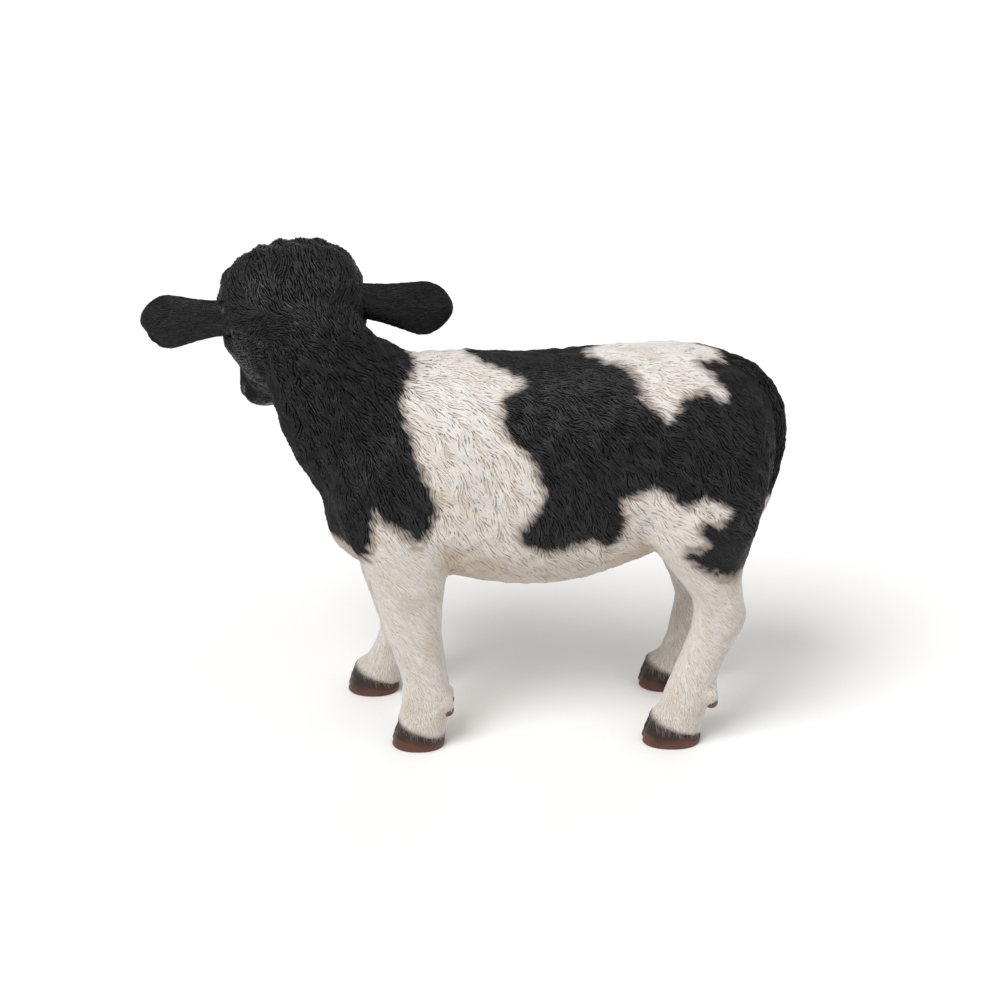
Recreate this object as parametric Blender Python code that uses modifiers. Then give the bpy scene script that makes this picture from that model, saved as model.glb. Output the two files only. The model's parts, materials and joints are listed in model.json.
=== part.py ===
"""Garden statue of a standing Holstein calf, cast in resin, with its head turned to its right.

The calf faces -X, its left side is -Y and the ground is z = 0. Sizes below are in millimetres, and
every mesh is written in metres. Trunk, neck, skull and legs are lofted through driving sections,
fused into one body, thinned to large facets and parted by thin cuts. Ears, eyes, tail, hooves and
dewclaws are solids of their own, set in recesses of the body. At the end everything is centred
over the middle of its bounding box.
"""

import math

import bmesh
import bpy
import numpy as np
from mathutils import Matrix, Vector

MM = 0.001
LEFT, RIGHT = -1, 1
SIDE_NAMES = {LEFT: "left", RIGHT: "right"}

# Driving dimensions
HEAD_PLACE = (-122.0, 18.0, 266.0)  # centre of the brain case
HEAD_TURN = 80.0  # degrees that the face is turned from straight ahead, to the calf's right
HEAD_PITCH = 50.0  # degrees that the face hangs below level
HEAD_ROLL = 6.0  # right ear up
CUT_GAP = 0.3  # clearance of every thin cut and recess
VOXEL = 2.0
LIMB_ALLOWANCE = 0.5  # added to a leg's sections, which the smoothing takes off again
BODY_TRIANGLES = 3600
RING_POINTS = 40
STATION_STEPS = 5
EAR_RING_POINTS = 14
TAIL_RING_POINTS = 10

# Trunk, from brisket to buttocks: x, top, bottom, half width, squareness of the section
TRUNK = [
    (-106, 172, 147, 12, 2.0),
    (-100, 200, 124, 29, 2.1),
    (-84, 223, 110, 40, 2.2),
    (-60, 236.5, 104, 48, 2.2),
    (-28, 241, 102, 50, 2.2),
    (8, 239.5, 97, 53, 2.2),
    (44, 242, 99.5, 54, 2.2),
    (80, 245, 113, 53, 2.2),
    (110, 245, 128, 51, 2.2),
    (134, 240, 137, 45, 2.2),
    (153, 225, 149, 34, 2.1),
    (162, 208, 166, 20, 2.0),
]

# Neck, from inside the shoulders to inside the skull: centre x, y, z, half across, half deep
NECK = [
    (-52, 0, 173, 42, 57),
    (-82, -3, 205, 37, 48),
    (-98.5, -6, 229, 31, 38.5),
    (-108, -4, 250, 29, 33),
    (-116, 4, 268, 27, 28),
]

# Head, from occiput to nose along its own axis: distance, crown, jaw, half width, squareness
SKULL = [
    (-37, 8, -10, 15, 2.0),
    (-31, 23, -24, 30, 2.1),
    (-17, 33, -31, 41, 2.3),
    (2, 35, -33, 43.5, 2.4),
    (18, 31.5, -35, 42, 2.4),
    (34, 26, -35, 37.5, 2.3),
    (50, 20, -31, 32.5, 2.3),
    (64, 16, -28, 30.5, 2.5),
    (76, 13, -26, 31, 2.9),
    (86, 8, -22, 28, 2.8),
    (92, 0, -14, 18, 2.3),
]

# Legs, top to bottom: height, centre x, half length, half width, place out from the middle
LEG_SQUARENESS = 2.2
FORE_LEG = [
    (212, -70, 18, 8, 20),
    (195, -69, 29, 15, 27),
    (172, -66, 33, 19, 31),
    (145, -62, 31, 19, 34),
    (120, -56, 25, 18, 35),
    (100, -54, 20.5, 16.5, 35),
    (80, -52.5, 17.5, 15, 35),
    (62, -49, 15.5, 14, 35),
    (45, -45.5, 14.0, 13, 35),
    (32, -44, 15.0, 14, 35),
    (20, -46, 15.3, 14.5, 35),
    (4, -50, 15.5, 14.5, 35),
]
HIND_LEG = [
    (222, 119, 22, 8, 18),
    (205, 117, 35, 17, 24),
    (188, 117.5, 40, 21.5, 28.5),
    (165, 118.5, 38, 23, 32),
    (140, 118.5, 31, 21, 35),
    (118, 123, 21, 18, 36),
    (100, 129.5, 15.5, 15.5, 36),
    (85, 131.5, 16, 14.5, 36),
    (70, 127, 14.5, 13.5, 36),
    (54, 120.5, 13.5, 13, 36),
    (40, 116.5, 14.5, 13.5, 36),
    (30, 113.5, 15, 14, 36),
    (18, 110, 14.5, 14.3, 36),
    (4, 106, 15.5, 14.5, 36),
]
HIND_SWAY = [(0, 6), (60, 5), (130, 0)]  # how far the hind feet stand over to the right: height, y
# How far the right leg of a pair stands from the left one's place: height, x
FORE_STEP = [(0, -30), (22, -23), (45, -15), (100, -15), (150, -8), (205, 0)]
HIND_STEP = [(0, 1), (34, 5), (62, 0), (76, -8), (90, -16), (115, -19), (160, -7), (222, 0)]

# Hooves: centre x of the sole, its half length and half width, coronet height in front and at the heel,
# and the dewclaws' place behind the fetlock, as x, distance from the leg's middle and height
FORE_HOOF = {
    "x": -50.0, "out": 35.0, "half_length": 16.8, "half_width": 14.6, "front": 15.0, "heel": 7.0,
    "dewclaw": (-32.5, 6.5, 27.0), "steps": FORE_STEP, "sway": [(0, 1.5), (130, 0)],
}
HIND_HOOF = {
    "x": 104.3, "out": 36.0, "half_length": 18.6, "half_width": 14.4, "front": 17.0, "heel": 7.5,
    "dewclaw": (127.5, 6.5, 31.0), "steps": HIND_STEP, "sway": HIND_SWAY,
}
HOOF_POINTS = 28
HOOF_SQUARENESS = 2.3
# share of the height, growth of the hoof's outline there
HOOF_WALL = [(0.0, 0.93), (0.1, 1.0), (0.45, 1.0), (0.8, 0.94), (1.0, 0.88)]
TOE_LEAN = 3.5  # how far back the toe's wall has leant at the coronet
HEEL_LEAN = 1.0
CLEFT_DEPTH = 0.30  # as a share of the length from the middle to the toe
CLEFT_WIDTH = 2.0
DEWCLAW_RADII = (4.6, 3.8, 5.4)
DEWCLAW_LEAN = 25.0

# Ears: place of the root in the head's frame, and how the blade stands
EAR_ROOT = (4.0, 35.0, -6.0)
EAR_SWEEP = {LEFT: 28.0, RIGHT: 6.0}
EAR_DROOP = {LEFT: 9.0, RIGHT: 12.0}
EAR_FACING = 12.0  # the cup looks forward and this much down
EAR_LENGTH = 60.5
EAR_FRONT = 1.2  # how far the ear's front stands before its middle, where there is no cup
# share of the length, half width, thickness of the back, depth of the cup
EAR = [
    (0.00, 12.0, 8.0, 0.0),
    (0.14, 12.4, 7.5, 0.6),
    (0.30, 12.8, 6.4, 2.4),
    (0.48, 13.8, 5.6, 3.0),
    (0.64, 15.8, 5.0, 2.8),
    (0.78, 16.0, 4.4, 2.4),
    (0.90, 12.2, 3.6, 1.6),
    (0.97, 7.0, 2.8, 0.8),
    (1.00, 2.5, 1.6, 0.0),
]

# Eyes and what is carved round them, in the head's frame
EYE_PLACE = (-20.0, 35.5, 4.0)
EYE_RADIUS = 8.5
LID_RADIUS = 10.2
EYE_OPENING = (8.0, 8.0, 5.6)
EYE_OPENING_OUT = 8.0

NOSTRIL_PLACE = (-87.5, 14.5, 0.0)
NOSTRIL_RADII = (4.5, 3.6, 2.8)
MOUTH_HEIGHT = -14.0
MOUTH_CORNER = 61.0
MOUTH_OPENING = 0.7
MOUTH_RADII = (21.0, 30.0)

# Thin cuts. The head is what lies in a box of its own frame, whose floor runs along the jaw.
HEAD_BOX = ((-110.0, -80.0, -30.5), (70.0, 46.0, 120.0))
NECK_BASE = (-80.0, 0.0, 206.0)
NECK_AXIS = (-0.62, 0.0, 0.78)

# Thin cut over each leg: heights at the groin and at the flank, and how much wider it is at the ground
LEG_CUT_TOP = (92.0, 172.0)
LEG_CUT_SPREAD = 14.0
LEG_CUT_INNER = 1.5  # each cut's distance from the middle of the statue
LEG_CUT_OUTER = 75.0
LEG_CUT_FLOOR = -20.0
FORE_LEG_CUT = {LEFT: (-100.0, -34.0), RIGHT: (-115.0, -49.0)}  # front and rear of the cut, at its top
HIND_LEG_CUT = {LEFT: (84.0, 160.0), RIGHT: (79.0, 160.0)}

# Tail: centre x, y, z, radius. It lies against the buttocks and its switch swings to the right.
TAIL = [
    (128, 0, 237, 6.0),
    (138, 0, 235.3, 6.2),
    (148.2, 0, 229.2, 6.1),
    (156, 0, 221.5, 5.9),
    (162.4, 0, 209, 5.7),
    (164.9, 0, 195, 5.5),
    (164.6, 0, 182, 5.4),
    (161.5, 1, 167, 5.5),
    (157, 3, 150, 6.2),
    (151, 7, 134, 6.6),
    (145.5, 11, 119, 5.2),
    (141, 14, 106, 2.0),
]

COLOURS = {
    "coat": (0.78, 0.74, 0.69),
    "black_coat": (0.035, 0.035, 0.04),
    "horn": (0.17, 0.09, 0.07),
    "eye": (0.02, 0.012, 0.01),
}
ROUGHNESS = {"coat": 0.6, "black_coat": 0.5, "horn": 0.45, "eye": 0.12}


def clear_scene():
    for obj in list(bpy.data.objects):
        bpy.data.objects.remove(obj)


def collection(name, hidden=False):
    made = bpy.data.collections.new(name)
    made.hide_render = hidden
    bpy.context.scene.collection.children.link(made)
    return made


def material(name):
    made = bpy.data.materials.new(name)
    made.use_nodes = True
    shader = made.node_tree.nodes["Principled BSDF"]
    shader.inputs["Base Color"].default_value = (*COLOURS[name], 1.0)
    shader.inputs["Roughness"].default_value = ROUGHNESS[name]
    shader.inputs["Metallic"].default_value = 0.0
    return made


def smooth_stations(stations, steps=STATION_STEPS):
    """The stations joined by a Catmull-Rom spline, so that a few driving sections give a fair form."""
    rows = np.array(stations, float)
    rows = np.vstack([2 * rows[0] - rows[1], rows, 2 * rows[-1] - rows[-2]])
    made = []
    for before, here, there, after in zip(rows, rows[1:], rows[2:], rows[3:]):
        for t in np.arange(steps) / steps:
            made.append(
                0.5 * (2 * here + (there - before) * t
                       + (2 * before - 5 * here + 4 * there - after) * t ** 2
                       + (3 * here - before - 3 * there + after) * t ** 3)
            )
    made.append(rows[-2])
    return made


def rounded(angle, power):
    """A point of the unit superellipse at this angle."""
    c, s = math.cos(angle), math.sin(angle)
    return math.copysign(abs(c) ** (2 / power), c), math.copysign(abs(s) ** (2 / power), s)


def section(centre, across, upward, half_width, half_height, power=2.0, points=RING_POINTS):
    """A closed superellipse ring round the centre."""
    ring = []
    for k in range(points):
        c, s = rounded(2 * math.pi * k / points, power)
        ring.append(centre + across * (half_width * c) + upward * (half_height * s))
    return ring


def loft(rings):
    """A closed mesh through rings of equal count, with a fan over each end."""
    made = bmesh.new()
    rows = [[made.verts.new(p * MM) for p in ring] for ring in rings]
    for low, high in zip(rows, rows[1:]):
        for k in range(len(low)):
            after = (k + 1) % len(low)
            made.faces.new((low[k], low[after], high[after], high[k]))
    for row in (rows[0], rows[-1]):
        middle = made.verts.new(sum((v.co for v in row), Vector()) / len(row))
        for k in range(len(row)):
            made.faces.new((row[k], row[(k + 1) % len(row)], middle))
    bmesh.ops.recalc_face_normals(made, faces=made.faces)
    return made


def trunk_form():
    rings = []
    for x, top, bottom, half_width, power in smooth_stations(TRUNK):
        centre = Vector((x, 0, (top + bottom) / 2))
        half_height = (top - bottom) / 2
        rings.append(section(centre, Vector((0, 1, 0)), Vector((0, 0, 1)), half_width, half_height, power))
    return loft(rings)


def tube_form(path, reference, grow=0.0, points=RING_POINTS):
    """A loft whose sections stand square to its own path: rows of x, y, z, half across, half deep."""
    places = [Vector(row[:3]) for row in path]
    rings = []
    for k, row in enumerate(path):
        along = places[min(k + 1, len(path) - 1)] - places[max(k - 1, 0)]
        across = reference.cross(along).normalized()
        deep = along.cross(across).normalized()
        rings.append(section(places[k], across, deep, row[3] + grow, row[-1] + grow, points=points))
    return loft(rings)


def step_at(steps, height):
    return float(np.interp(height, [s[0] for s in steps], [s[1] for s in steps]))


def leg_form(stations, side, steps, sway):
    """A leg from level sections; the right one follows its own steps."""
    rings = []
    for z, x, half_length, half_width, out in smooth_stations(stations):
        shift = step_at(steps, z) if side == RIGHT else 0.0
        centre = Vector((x + shift, side * out + step_at(sway, z), z))
        rings.append(section(centre, Vector((1, 0, 0)), Vector((0, 1, 0)),
                             half_length + LIMB_ALLOWANCE, half_width + LIMB_ALLOWANCE, LEG_SQUARENESS))
    return loft(rings)


def head_matrix():
    """From the head's own frame, where the face looks along -X with its crown up, to the statue's."""
    turn = Matrix.Rotation(math.radians(-HEAD_TURN), 4, "Z")
    pitch = Matrix.Rotation(math.radians(-HEAD_PITCH), 4, "Y")
    roll = Matrix.Rotation(math.radians(HEAD_ROLL), 4, "X")
    return Matrix.Translation(HEAD_PLACE) @ turn @ pitch @ roll


def in_head(place, side=RIGHT):
    """A place given in the head's frame, on the left or the right of it."""
    return head_matrix() @ Vector((place[0], side * place[1], place[2]))


def skull_form():
    placed = head_matrix()
    turned = placed.to_3x3()
    rings = []
    for along, crown, jaw, half_width, power in smooth_stations(SKULL):
        centre = placed @ Vector((-along, 0, (crown + jaw) / 2))
        across, upward = turned @ Vector((0, 1, 0)), turned @ Vector((0, 0, 1))
        rings.append(section(centre, across, upward, half_width, (crown - jaw) / 2, power))
    return loft(rings)


def ear_matrix(side):
    """Root of the ear, its length along X, the back of its blade along Z."""
    turn = math.radians(-HEAD_TURN)
    face = Vector((-math.cos(turn), -math.sin(turn), 0))
    outward = Vector((-math.sin(turn), math.cos(turn), 0)) * side
    sweep, droop = math.radians(EAR_SWEEP[side]), math.radians(EAR_DROOP[side])
    along = (outward * math.cos(sweep) + face * math.sin(sweep)) * math.cos(droop)
    along = along - Vector((0, 0, math.sin(droop)))
    upright = Vector((0, 0, 1))
    upright = (upright - along * upright.dot(along)).normalized()
    back = along.cross(upright).normalized()
    if back.dot(face) > 0:
        back = -back
    facing = math.radians(EAR_FACING)
    back = back * math.cos(facing) + upright * math.sin(facing)
    wide = back.cross(along).normalized()
    turned = Matrix((along, wide, back)).transposed().to_4x4()
    return Matrix.Translation(in_head(EAR_ROOT, side)) @ turned


def ear_form(side, grow=0.0):
    """A paddle of crescent section: a rounded back, and a front that is hollowed into a cup."""
    placed = ear_matrix(side)
    rings = []
    for share, half_width, back, cup in EAR:
        ring = []
        for k in range(EAR_RING_POINTS):
            angle = 2 * math.pi * k / EAR_RING_POINTS
            c, s = math.cos(angle), math.sin(angle)
            depth = (back + grow) * s if s > 0 else (EAR_FRONT + grow) * s + cup * s * s
            ring.append(placed @ Vector((share * EAR_LENGTH, (half_width + grow) * c, depth)))
        rings.append(ring)
    return loft(rings)


def foot_place(hoof, side):
    """Centre of a sole on the ground."""
    shift = step_at(hoof["steps"], 0) if side == RIGHT else 0.0
    return hoof["x"] + shift, side * hoof["out"] + step_at(hoof["sway"], 0)


def hoof_form(size, side):
    """A cloven hoof: level soles on the ground, walls that lean in to a sloping coronet."""
    foot_x, foot_y = foot_place(size, side)
    rings = []
    for share, spread in HOOF_WALL:
        ring = []
        for k in range(HOOF_POINTS):
            c, s = rounded(2 * math.pi * k / HOOF_POINTS, HOOF_SQUARENESS)
            y = size["half_width"] * s * spread
            x = size["half_length"] * c * spread
            cleft = math.exp(-(y / CLEFT_WIDTH) ** 2)
            x *= 1 - cleft * (CLEFT_DEPTH if c < 0 else 0.5 * CLEFT_DEPTH)
            x += share * (TOE_LEAN if c < 0 else HEEL_LEAN)
            ring.append(Vector((foot_x + x, foot_y + y, share * coronet_height(size, x))))
        rings.append(ring)
    return loft(rings)


def coronet_height(size, x):
    """Height of the coronet at this x, counted from the hoof's centre."""
    middle = (size["front"] + size["heel"]) / 2
    return middle - x * (size["front"] - size["heel"]) / (2 * size["half_length"])


def ball_form(matrix, radii, grow=0.0, segments=12, rings=8):
    made = bmesh.new()
    bmesh.ops.create_uvsphere(made, u_segments=segments, v_segments=rings, radius=1.0)
    sizes = Matrix.Diagonal((radii[0] + grow, radii[1] + grow, radii[2] + grow, 1.0))
    bmesh.ops.transform(made, matrix=Matrix.Scale(MM, 4) @ matrix @ sizes, verts=made.verts)
    return made


def eye_form(side, radius, grow=0.0):
    return ball_form(Matrix.Translation(in_head(EYE_PLACE, side)), (radius,) * 3, grow)


def dewclaw_form(hoof, side, inner, grow=0.0):
    """A short blunt horn behind the fetlock, one on each side of the leg."""
    x, out, z = hoof["dewclaw"]
    shift = step_at(hoof["steps"], z) if side == RIGHT else 0.0
    centre = Vector((x + shift, side * hoof["out"] + step_at(hoof["sway"], z) + inner * out, z))
    lean = Matrix.Rotation(math.radians(-DEWCLAW_LEAN), 4, "Y")
    return ball_form(Matrix.Translation(centre) @ lean, DEWCLAW_RADII, grow, 6, 5)


def half_space(point, normal, size=500.0):
    """A box that fills the side of a plane to which the normal points."""
    made = bmesh.new()
    bmesh.ops.create_cube(made, size=1.0)
    turned = normal.normalized().to_track_quat("Z", "Y").to_matrix().to_4x4()
    place = Matrix.Translation(point) @ turned @ Matrix.Translation((0, 0, size / 2))
    matrix = Matrix.Scale(MM, 4) @ place @ Matrix.Diagonal((size, size, size, 1.0))
    bmesh.ops.transform(made, matrix=matrix, verts=made.verts)
    return made


def box_form(matrix, low, high, grow=0.0):
    made = bmesh.new()
    bmesh.ops.create_cube(made, size=1.0)
    low, high = Vector(low) - Vector((grow,) * 3), Vector(high) + Vector((grow,) * 3)
    place = matrix @ Matrix.Translation((low + high) / 2) @ Matrix.Diagonal((*(high - low), 1.0))
    bmesh.ops.transform(made, matrix=Matrix.Scale(MM, 4) @ place, verts=made.verts)
    return made


def leg_cutter(front, rear, side, grow):
    """A block round one leg that narrows upwards, and whose top slants from the groin up to the flank."""
    inner, outer = LEG_CUT_INNER - grow, LEG_CUT_OUTER
    groin, flank = (height + grow * math.sqrt(2) for height in LEG_CUT_TOP)
    rings = []
    for spread, inside, outside in ((LEG_CUT_SPREAD, LEG_CUT_FLOOR, LEG_CUT_FLOOR), (0.0, groin, flank)):
        ahead, behind = front - spread - grow, rear + spread + grow
        corners = [(ahead, inner, inside), (behind, inner, inside), (behind, outer, outside),
                   (ahead, outer, outside)]
        rings.append([Vector((x, side * y, z)) for x, y, z in corners])
    return loft(rings)


def mouth_cutter():
    """A thin level wedge, open round the lips and shut at the mouth's corners."""
    made = bmesh.new()
    bmesh.ops.create_cone(made, cap_ends=True, segments=32, radius1=1.0, radius2=1.0, depth=1.0)
    placed = head_matrix() @ Matrix.Translation((-MOUTH_CORNER - MOUTH_RADII[0], 0, MOUTH_HEIGHT))
    sizes = Matrix.Diagonal((*MOUTH_RADII, MOUTH_OPENING, 1.0))
    bmesh.ops.transform(made, matrix=Matrix.Scale(MM, 4) @ placed @ sizes, verts=made.verts)
    return made


def mesh_object(name, forms, target):
    """One object from one or more closed forms."""
    whole = bmesh.new()
    for form in forms:
        piece = bpy.data.meshes.new("piece")
        form.to_mesh(piece)
        form.free()
        whole.from_mesh(piece)
        bpy.data.meshes.remove(piece)
    mesh = bpy.data.meshes.new(name)
    whole.to_mesh(mesh)
    whole.free()
    made = bpy.data.objects.new(name, mesh)
    target.objects.link(made)
    return made


def frozen(obj):
    """The object's mesh with its modifiers applied."""
    bpy.context.view_layer.update()
    return bpy.data.meshes.new_from_object(obj.evaluated_get(bpy.context.evaluated_depsgraph_get()))


def fused_body(forms, target):
    """The forms made one skin with rounded joins, thinned where it is flat."""
    body = mesh_object("body", forms, target)
    fuse = body.modifiers.new("fuse", "REMESH")
    fuse.mode = "VOXEL"
    fuse.voxel_size = VOXEL * MM
    soften = body.modifiers.new("soften", "SMOOTH")
    soften.factor = 0.5
    soften.iterations = 10
    body.data = frozen(body)
    body.modifiers.clear()
    thin = body.modifiers.new("thin", "DECIMATE")
    thin.ratio = BODY_TRIANGLES / (2 * len(body.data.polygons))
    body.data = frozen(body)
    body.modifiers.clear()
    return body


def cutter(name, form, target):
    made = mesh_object(name, [form], target)
    made.hide_render = True
    made.display_type = "WIRE"
    return made


def part_of(name, mesh, finish, target, keep=None, drop=()):
    """A node: the part of this mesh inside `keep`, less everything in `drop`."""
    made = bpy.data.objects.new(name, mesh)
    target.objects.link(made)
    for other in ([keep] if keep else []) + list(drop):
        cut = made.modifiers.new(other.name, "BOOLEAN")
        cut.operation = "INTERSECT" if other is keep else "DIFFERENCE"
        cut.solver = "EXACT"
        cut.object = other
    made.data = frozen(made)
    made.modifiers.clear()
    made.data.materials.clear()
    made.data.materials.append(finish)
    return made


def add_legs(body, model, tools, finishes):
    """The four legs with their hooves and dewclaws. Returns the cutters that clear the trunk for them."""
    clear = []
    for end, hoof, cuts in (("front", FORE_HOOF, FORE_LEG_CUT), ("hind", HIND_HOOF, HIND_LEG_CUT)):
        for side in (LEFT, RIGHT):
            label = f"{end}_{SIDE_NAMES[side]}"
            keep = cutter(f"cut_leg_{label}", leg_cutter(*cuts[side], side, 0.0), tools)
            clear.append(cutter(f"clear_leg_{label}", leg_cutter(*cuts[side], side, CUT_GAP), tools))
            slope = (hoof["front"] - hoof["heel"]) / (2 * hoof["half_length"])
            coronet = Vector((foot_place(hoof, side)[0], 0, (hoof["front"] + hoof["heel"]) / 2 + CUT_GAP))
            drop = [cutter(f"coronet_{label}", half_space(coronet, Vector((-slope, 0, -1))), tools)]
            for place, inner in (("inner", -side), ("outer", side)):
                claw = mesh_object(f"dewclaw_{label}_{place}", [dewclaw_form(hoof, side, inner)], model)
                claw.data.materials.append(finishes["horn"])
                claw.data.shade_smooth()
                recess = dewclaw_form(hoof, side, inner, CUT_GAP)
                drop.append(cutter(f"recess_{label}_{place}", recess, tools))
            part_of(f"leg_{label}", body, finishes["coat"], model, keep, drop)
            horn = mesh_object(f"hoof_{label}", [hoof_form(hoof, side)], model)
            horn.data.materials.append(finishes["horn"])
    return clear


def tail_form(grow=0.0):
    return tube_form(TAIL, Vector((0, 1, 0)), grow, TAIL_RING_POINTS)


def add_head_and_neck(body, model, tools, finishes, clear_legs):
    """The head with its eyes and ears, and the neck. Returns the cutters that bound the trunk."""
    turned = head_matrix().to_3x3().to_4x4()
    shoulders, ahead = Vector(NECK_BASE), Vector(NECK_AXIS)
    front = cutter("cut_neck", half_space(shoulders, ahead), tools)
    head_box = cutter("cut_head", box_form(head_matrix(), *HEAD_BOX), tools)
    clear_head = cutter("clear_head", box_form(head_matrix(), *HEAD_BOX, CUT_GAP), tools)
    drop = []
    for side in (LEFT, RIGHT):
        label = SIDE_NAMES[side]
        eye = mesh_object(f"eye_{label}", [eye_form(side, EYE_RADIUS)], model)
        eye.data.materials.append(finishes["eye"])
        eye.data.shade_smooth()
        ear = mesh_object(f"ear_{label}", [ear_form(side)], model)
        ear.data.materials.append(finishes["black_coat"])
        drop.append(cutter(f"socket_{label}", eye_form(side, EYE_RADIUS, CUT_GAP), tools))
        out = (EYE_PLACE[0], EYE_PLACE[1] + EYE_OPENING_OUT, EYE_PLACE[2])
        opening = ball_form(Matrix.Translation(in_head(out, side)) @ turned, EYE_OPENING)
        drop.append(cutter(f"lids_{label}", opening, tools))
        drop.append(cutter(f"ear_recess_{label}", ear_form(side, CUT_GAP), tools))
        nostril = Matrix.Translation(in_head(NOSTRIL_PLACE, side)) @ turned
        drop.append(cutter(f"nostril_{label}", ball_form(nostril, NOSTRIL_RADII), tools))
    drop.append(cutter("mouth", mouth_cutter(), tools))
    part_of("head", body, finishes["black_coat"], model, head_box, drop)
    part_of("neck", body, finishes["black_coat"], model, front, [clear_head, *clear_legs, *drop])
    return cutter("cut_trunk", half_space(shoulders - ahead * CUT_GAP, -ahead), tools), clear_head


def centre_on_ground(model, tools):
    """Moves everything so that the statue's box is centred over the origin."""
    bpy.context.view_layer.update()
    corners = [obj.matrix_world @ v.co for obj in model.objects for v in obj.data.vertices]
    low = [min(c[axis] for c in corners) for axis in range(2)]
    high = [max(c[axis] for c in corners) for axis in range(2)]
    for obj in [*model.objects, *tools.objects]:
        obj.location.x -= (low[0] + high[0]) / 2
        obj.location.y -= (low[1] + high[1]) / 2


def main():
    clear_scene()
    model = collection("calf_statue")
    tools = collection("cutters", hidden=True)
    finishes = {name: material(name) for name in COLOURS}

    forms = [trunk_form(), tube_form(smooth_stations(NECK), Vector((0, 0, 1))), skull_form()]
    for side in (LEFT, RIGHT):
        forms.append(leg_form(FORE_LEG, side, FORE_STEP, FORE_HOOF["sway"]))
        forms.append(leg_form(HIND_LEG, side, HIND_STEP, HIND_SWAY))
        forms.append(eye_form(side, LID_RADIUS))
    source = fused_body(forms, tools)
    source.hide_render = True
    body = source.data

    clear_legs = add_legs(body, model, tools, finishes)
    behind, clear_head = add_head_and_neck(body, model, tools, finishes, clear_legs)
    tail = mesh_object("tail", [tail_form()], model)
    tail.data.materials.append(finishes["black_coat"])
    tail_bed = cutter("tail_bed", tail_form(CUT_GAP), tools)
    part_of("trunk", body, finishes["coat"], model, behind, [*clear_legs, clear_head, tail_bed])
    for side in (LEFT, RIGHT):
        bed = bpy.data.objects[f"leg_hind_{SIDE_NAMES[side]}"].modifiers.new("tail_bed", "BOOLEAN")
        bed.object = tail_bed
    centre_on_ground(model, tools)


main()
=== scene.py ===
"""Looks of the cast-resin calf statue: one skin over the nodes of flesh, tooled fur on it as solid
strokes, lids and muzzle, cloven hooves, dewclaws and glossy eyes, on a plain pale floor.

Lengths are in millimetres until a mesh is made. The calf faces -X, its left side is -Y.
"""

import json
import math

import bmesh
import bpy
import numpy as np
from mathutils import Matrix, Vector
from mathutils.bvhtree import BVHTree
from mathutils.kdtree import KDTree

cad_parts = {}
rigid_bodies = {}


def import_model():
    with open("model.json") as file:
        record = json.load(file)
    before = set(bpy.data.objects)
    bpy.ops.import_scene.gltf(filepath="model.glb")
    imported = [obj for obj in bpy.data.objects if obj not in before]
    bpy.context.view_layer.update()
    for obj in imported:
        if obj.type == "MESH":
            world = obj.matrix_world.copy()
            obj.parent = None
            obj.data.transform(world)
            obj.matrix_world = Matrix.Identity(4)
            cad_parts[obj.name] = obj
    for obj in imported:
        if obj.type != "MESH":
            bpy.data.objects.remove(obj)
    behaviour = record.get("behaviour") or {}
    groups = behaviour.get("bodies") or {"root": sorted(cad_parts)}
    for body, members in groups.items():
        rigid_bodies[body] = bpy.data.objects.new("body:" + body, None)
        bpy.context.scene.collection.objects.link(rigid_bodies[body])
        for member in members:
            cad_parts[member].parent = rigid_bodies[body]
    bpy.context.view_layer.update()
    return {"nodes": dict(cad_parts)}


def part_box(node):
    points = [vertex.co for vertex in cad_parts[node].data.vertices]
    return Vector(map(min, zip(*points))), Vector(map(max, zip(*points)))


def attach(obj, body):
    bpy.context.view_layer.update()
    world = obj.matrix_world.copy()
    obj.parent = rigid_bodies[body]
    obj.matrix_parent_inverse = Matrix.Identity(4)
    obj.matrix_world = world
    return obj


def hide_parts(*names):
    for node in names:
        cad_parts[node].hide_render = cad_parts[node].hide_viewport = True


MM = 0.001
SEED = 11

FEET = ("front_left", "front_right", "hind_left", "hind_right")
SIDES = {"left": -1, "right": 1}
FLESH = ["head", "neck", "trunk", "tail", "ear_left", "ear_right"] + [f"leg_{foot}" for foot in FEET]

# How the head stands, in degrees: turned to the calf's right, hung, and tilted
HEAD_TURN, HEAD_PITCH, HEAD_ROLL = 80.0, 50.0, 6.0
EYE_IN_HEAD = (-20.0, 35.5, 4.0)  # from the middle of the brain case; the face looks along -X

# Skin
LET_OUT = 0.3  # closes the thin cuts between the nodes
EARS = ["ear_left", "ear_right"]
SKIN_VOXEL = 1.5
SKIN_TRIANGLES = 196000
FAIRING = 40  # rounds over the whole skin
# How far the skin lies inside each kind of node, and how much of the further fairing each takes
COAT_DEPTH = {"trunk": 0.9, "neck": 0.9, "leg": 0.75, "head": 0.8, "ear": 0.35, "tail": 0.8}
BODY_FAIRING = {"trunk": 1.0, "neck": 1.0, "leg": 0.0, "head": 0.0, "ear": 0.0, "tail": 0.0}
BODY_ROUNDS = 120

# Face, in the head's frame
EYE_RADIUS = 8.5
EAR_ROOT = (4.0, 31.0, -5.0)
EAR_BOWL = 3.4  # depth of the bowl in its front
EAR_WALL = 2.2  # what the bowl leaves of the ear's thickness
EAR_WIDTHS = [(0, 0.80), (0.25, 0.86), (0.55, 1.0), (0.75, 1.06), (1, 1.0)]  # place along it, width
EYE_TURN = 0.52  # how far forward the eyes look
EYE_RAISE = 0.10
EYE_SLANT = -0.10  # the front corner is a little the lower one
EYE_OPENING = (7.6, 5.0, 4.3)  # the lids' opening from the middle of the eye: long way, above, below
NOSTRIL = (-88.0, 14.5, 0.0)
NOSTRIL_RADII = (5.0, 3.0)
NOSTRIL_TILT = 50.0
NOSTRIL_DEPTH = 6.0
MOUTH_HEIGHT = -14.5
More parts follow.
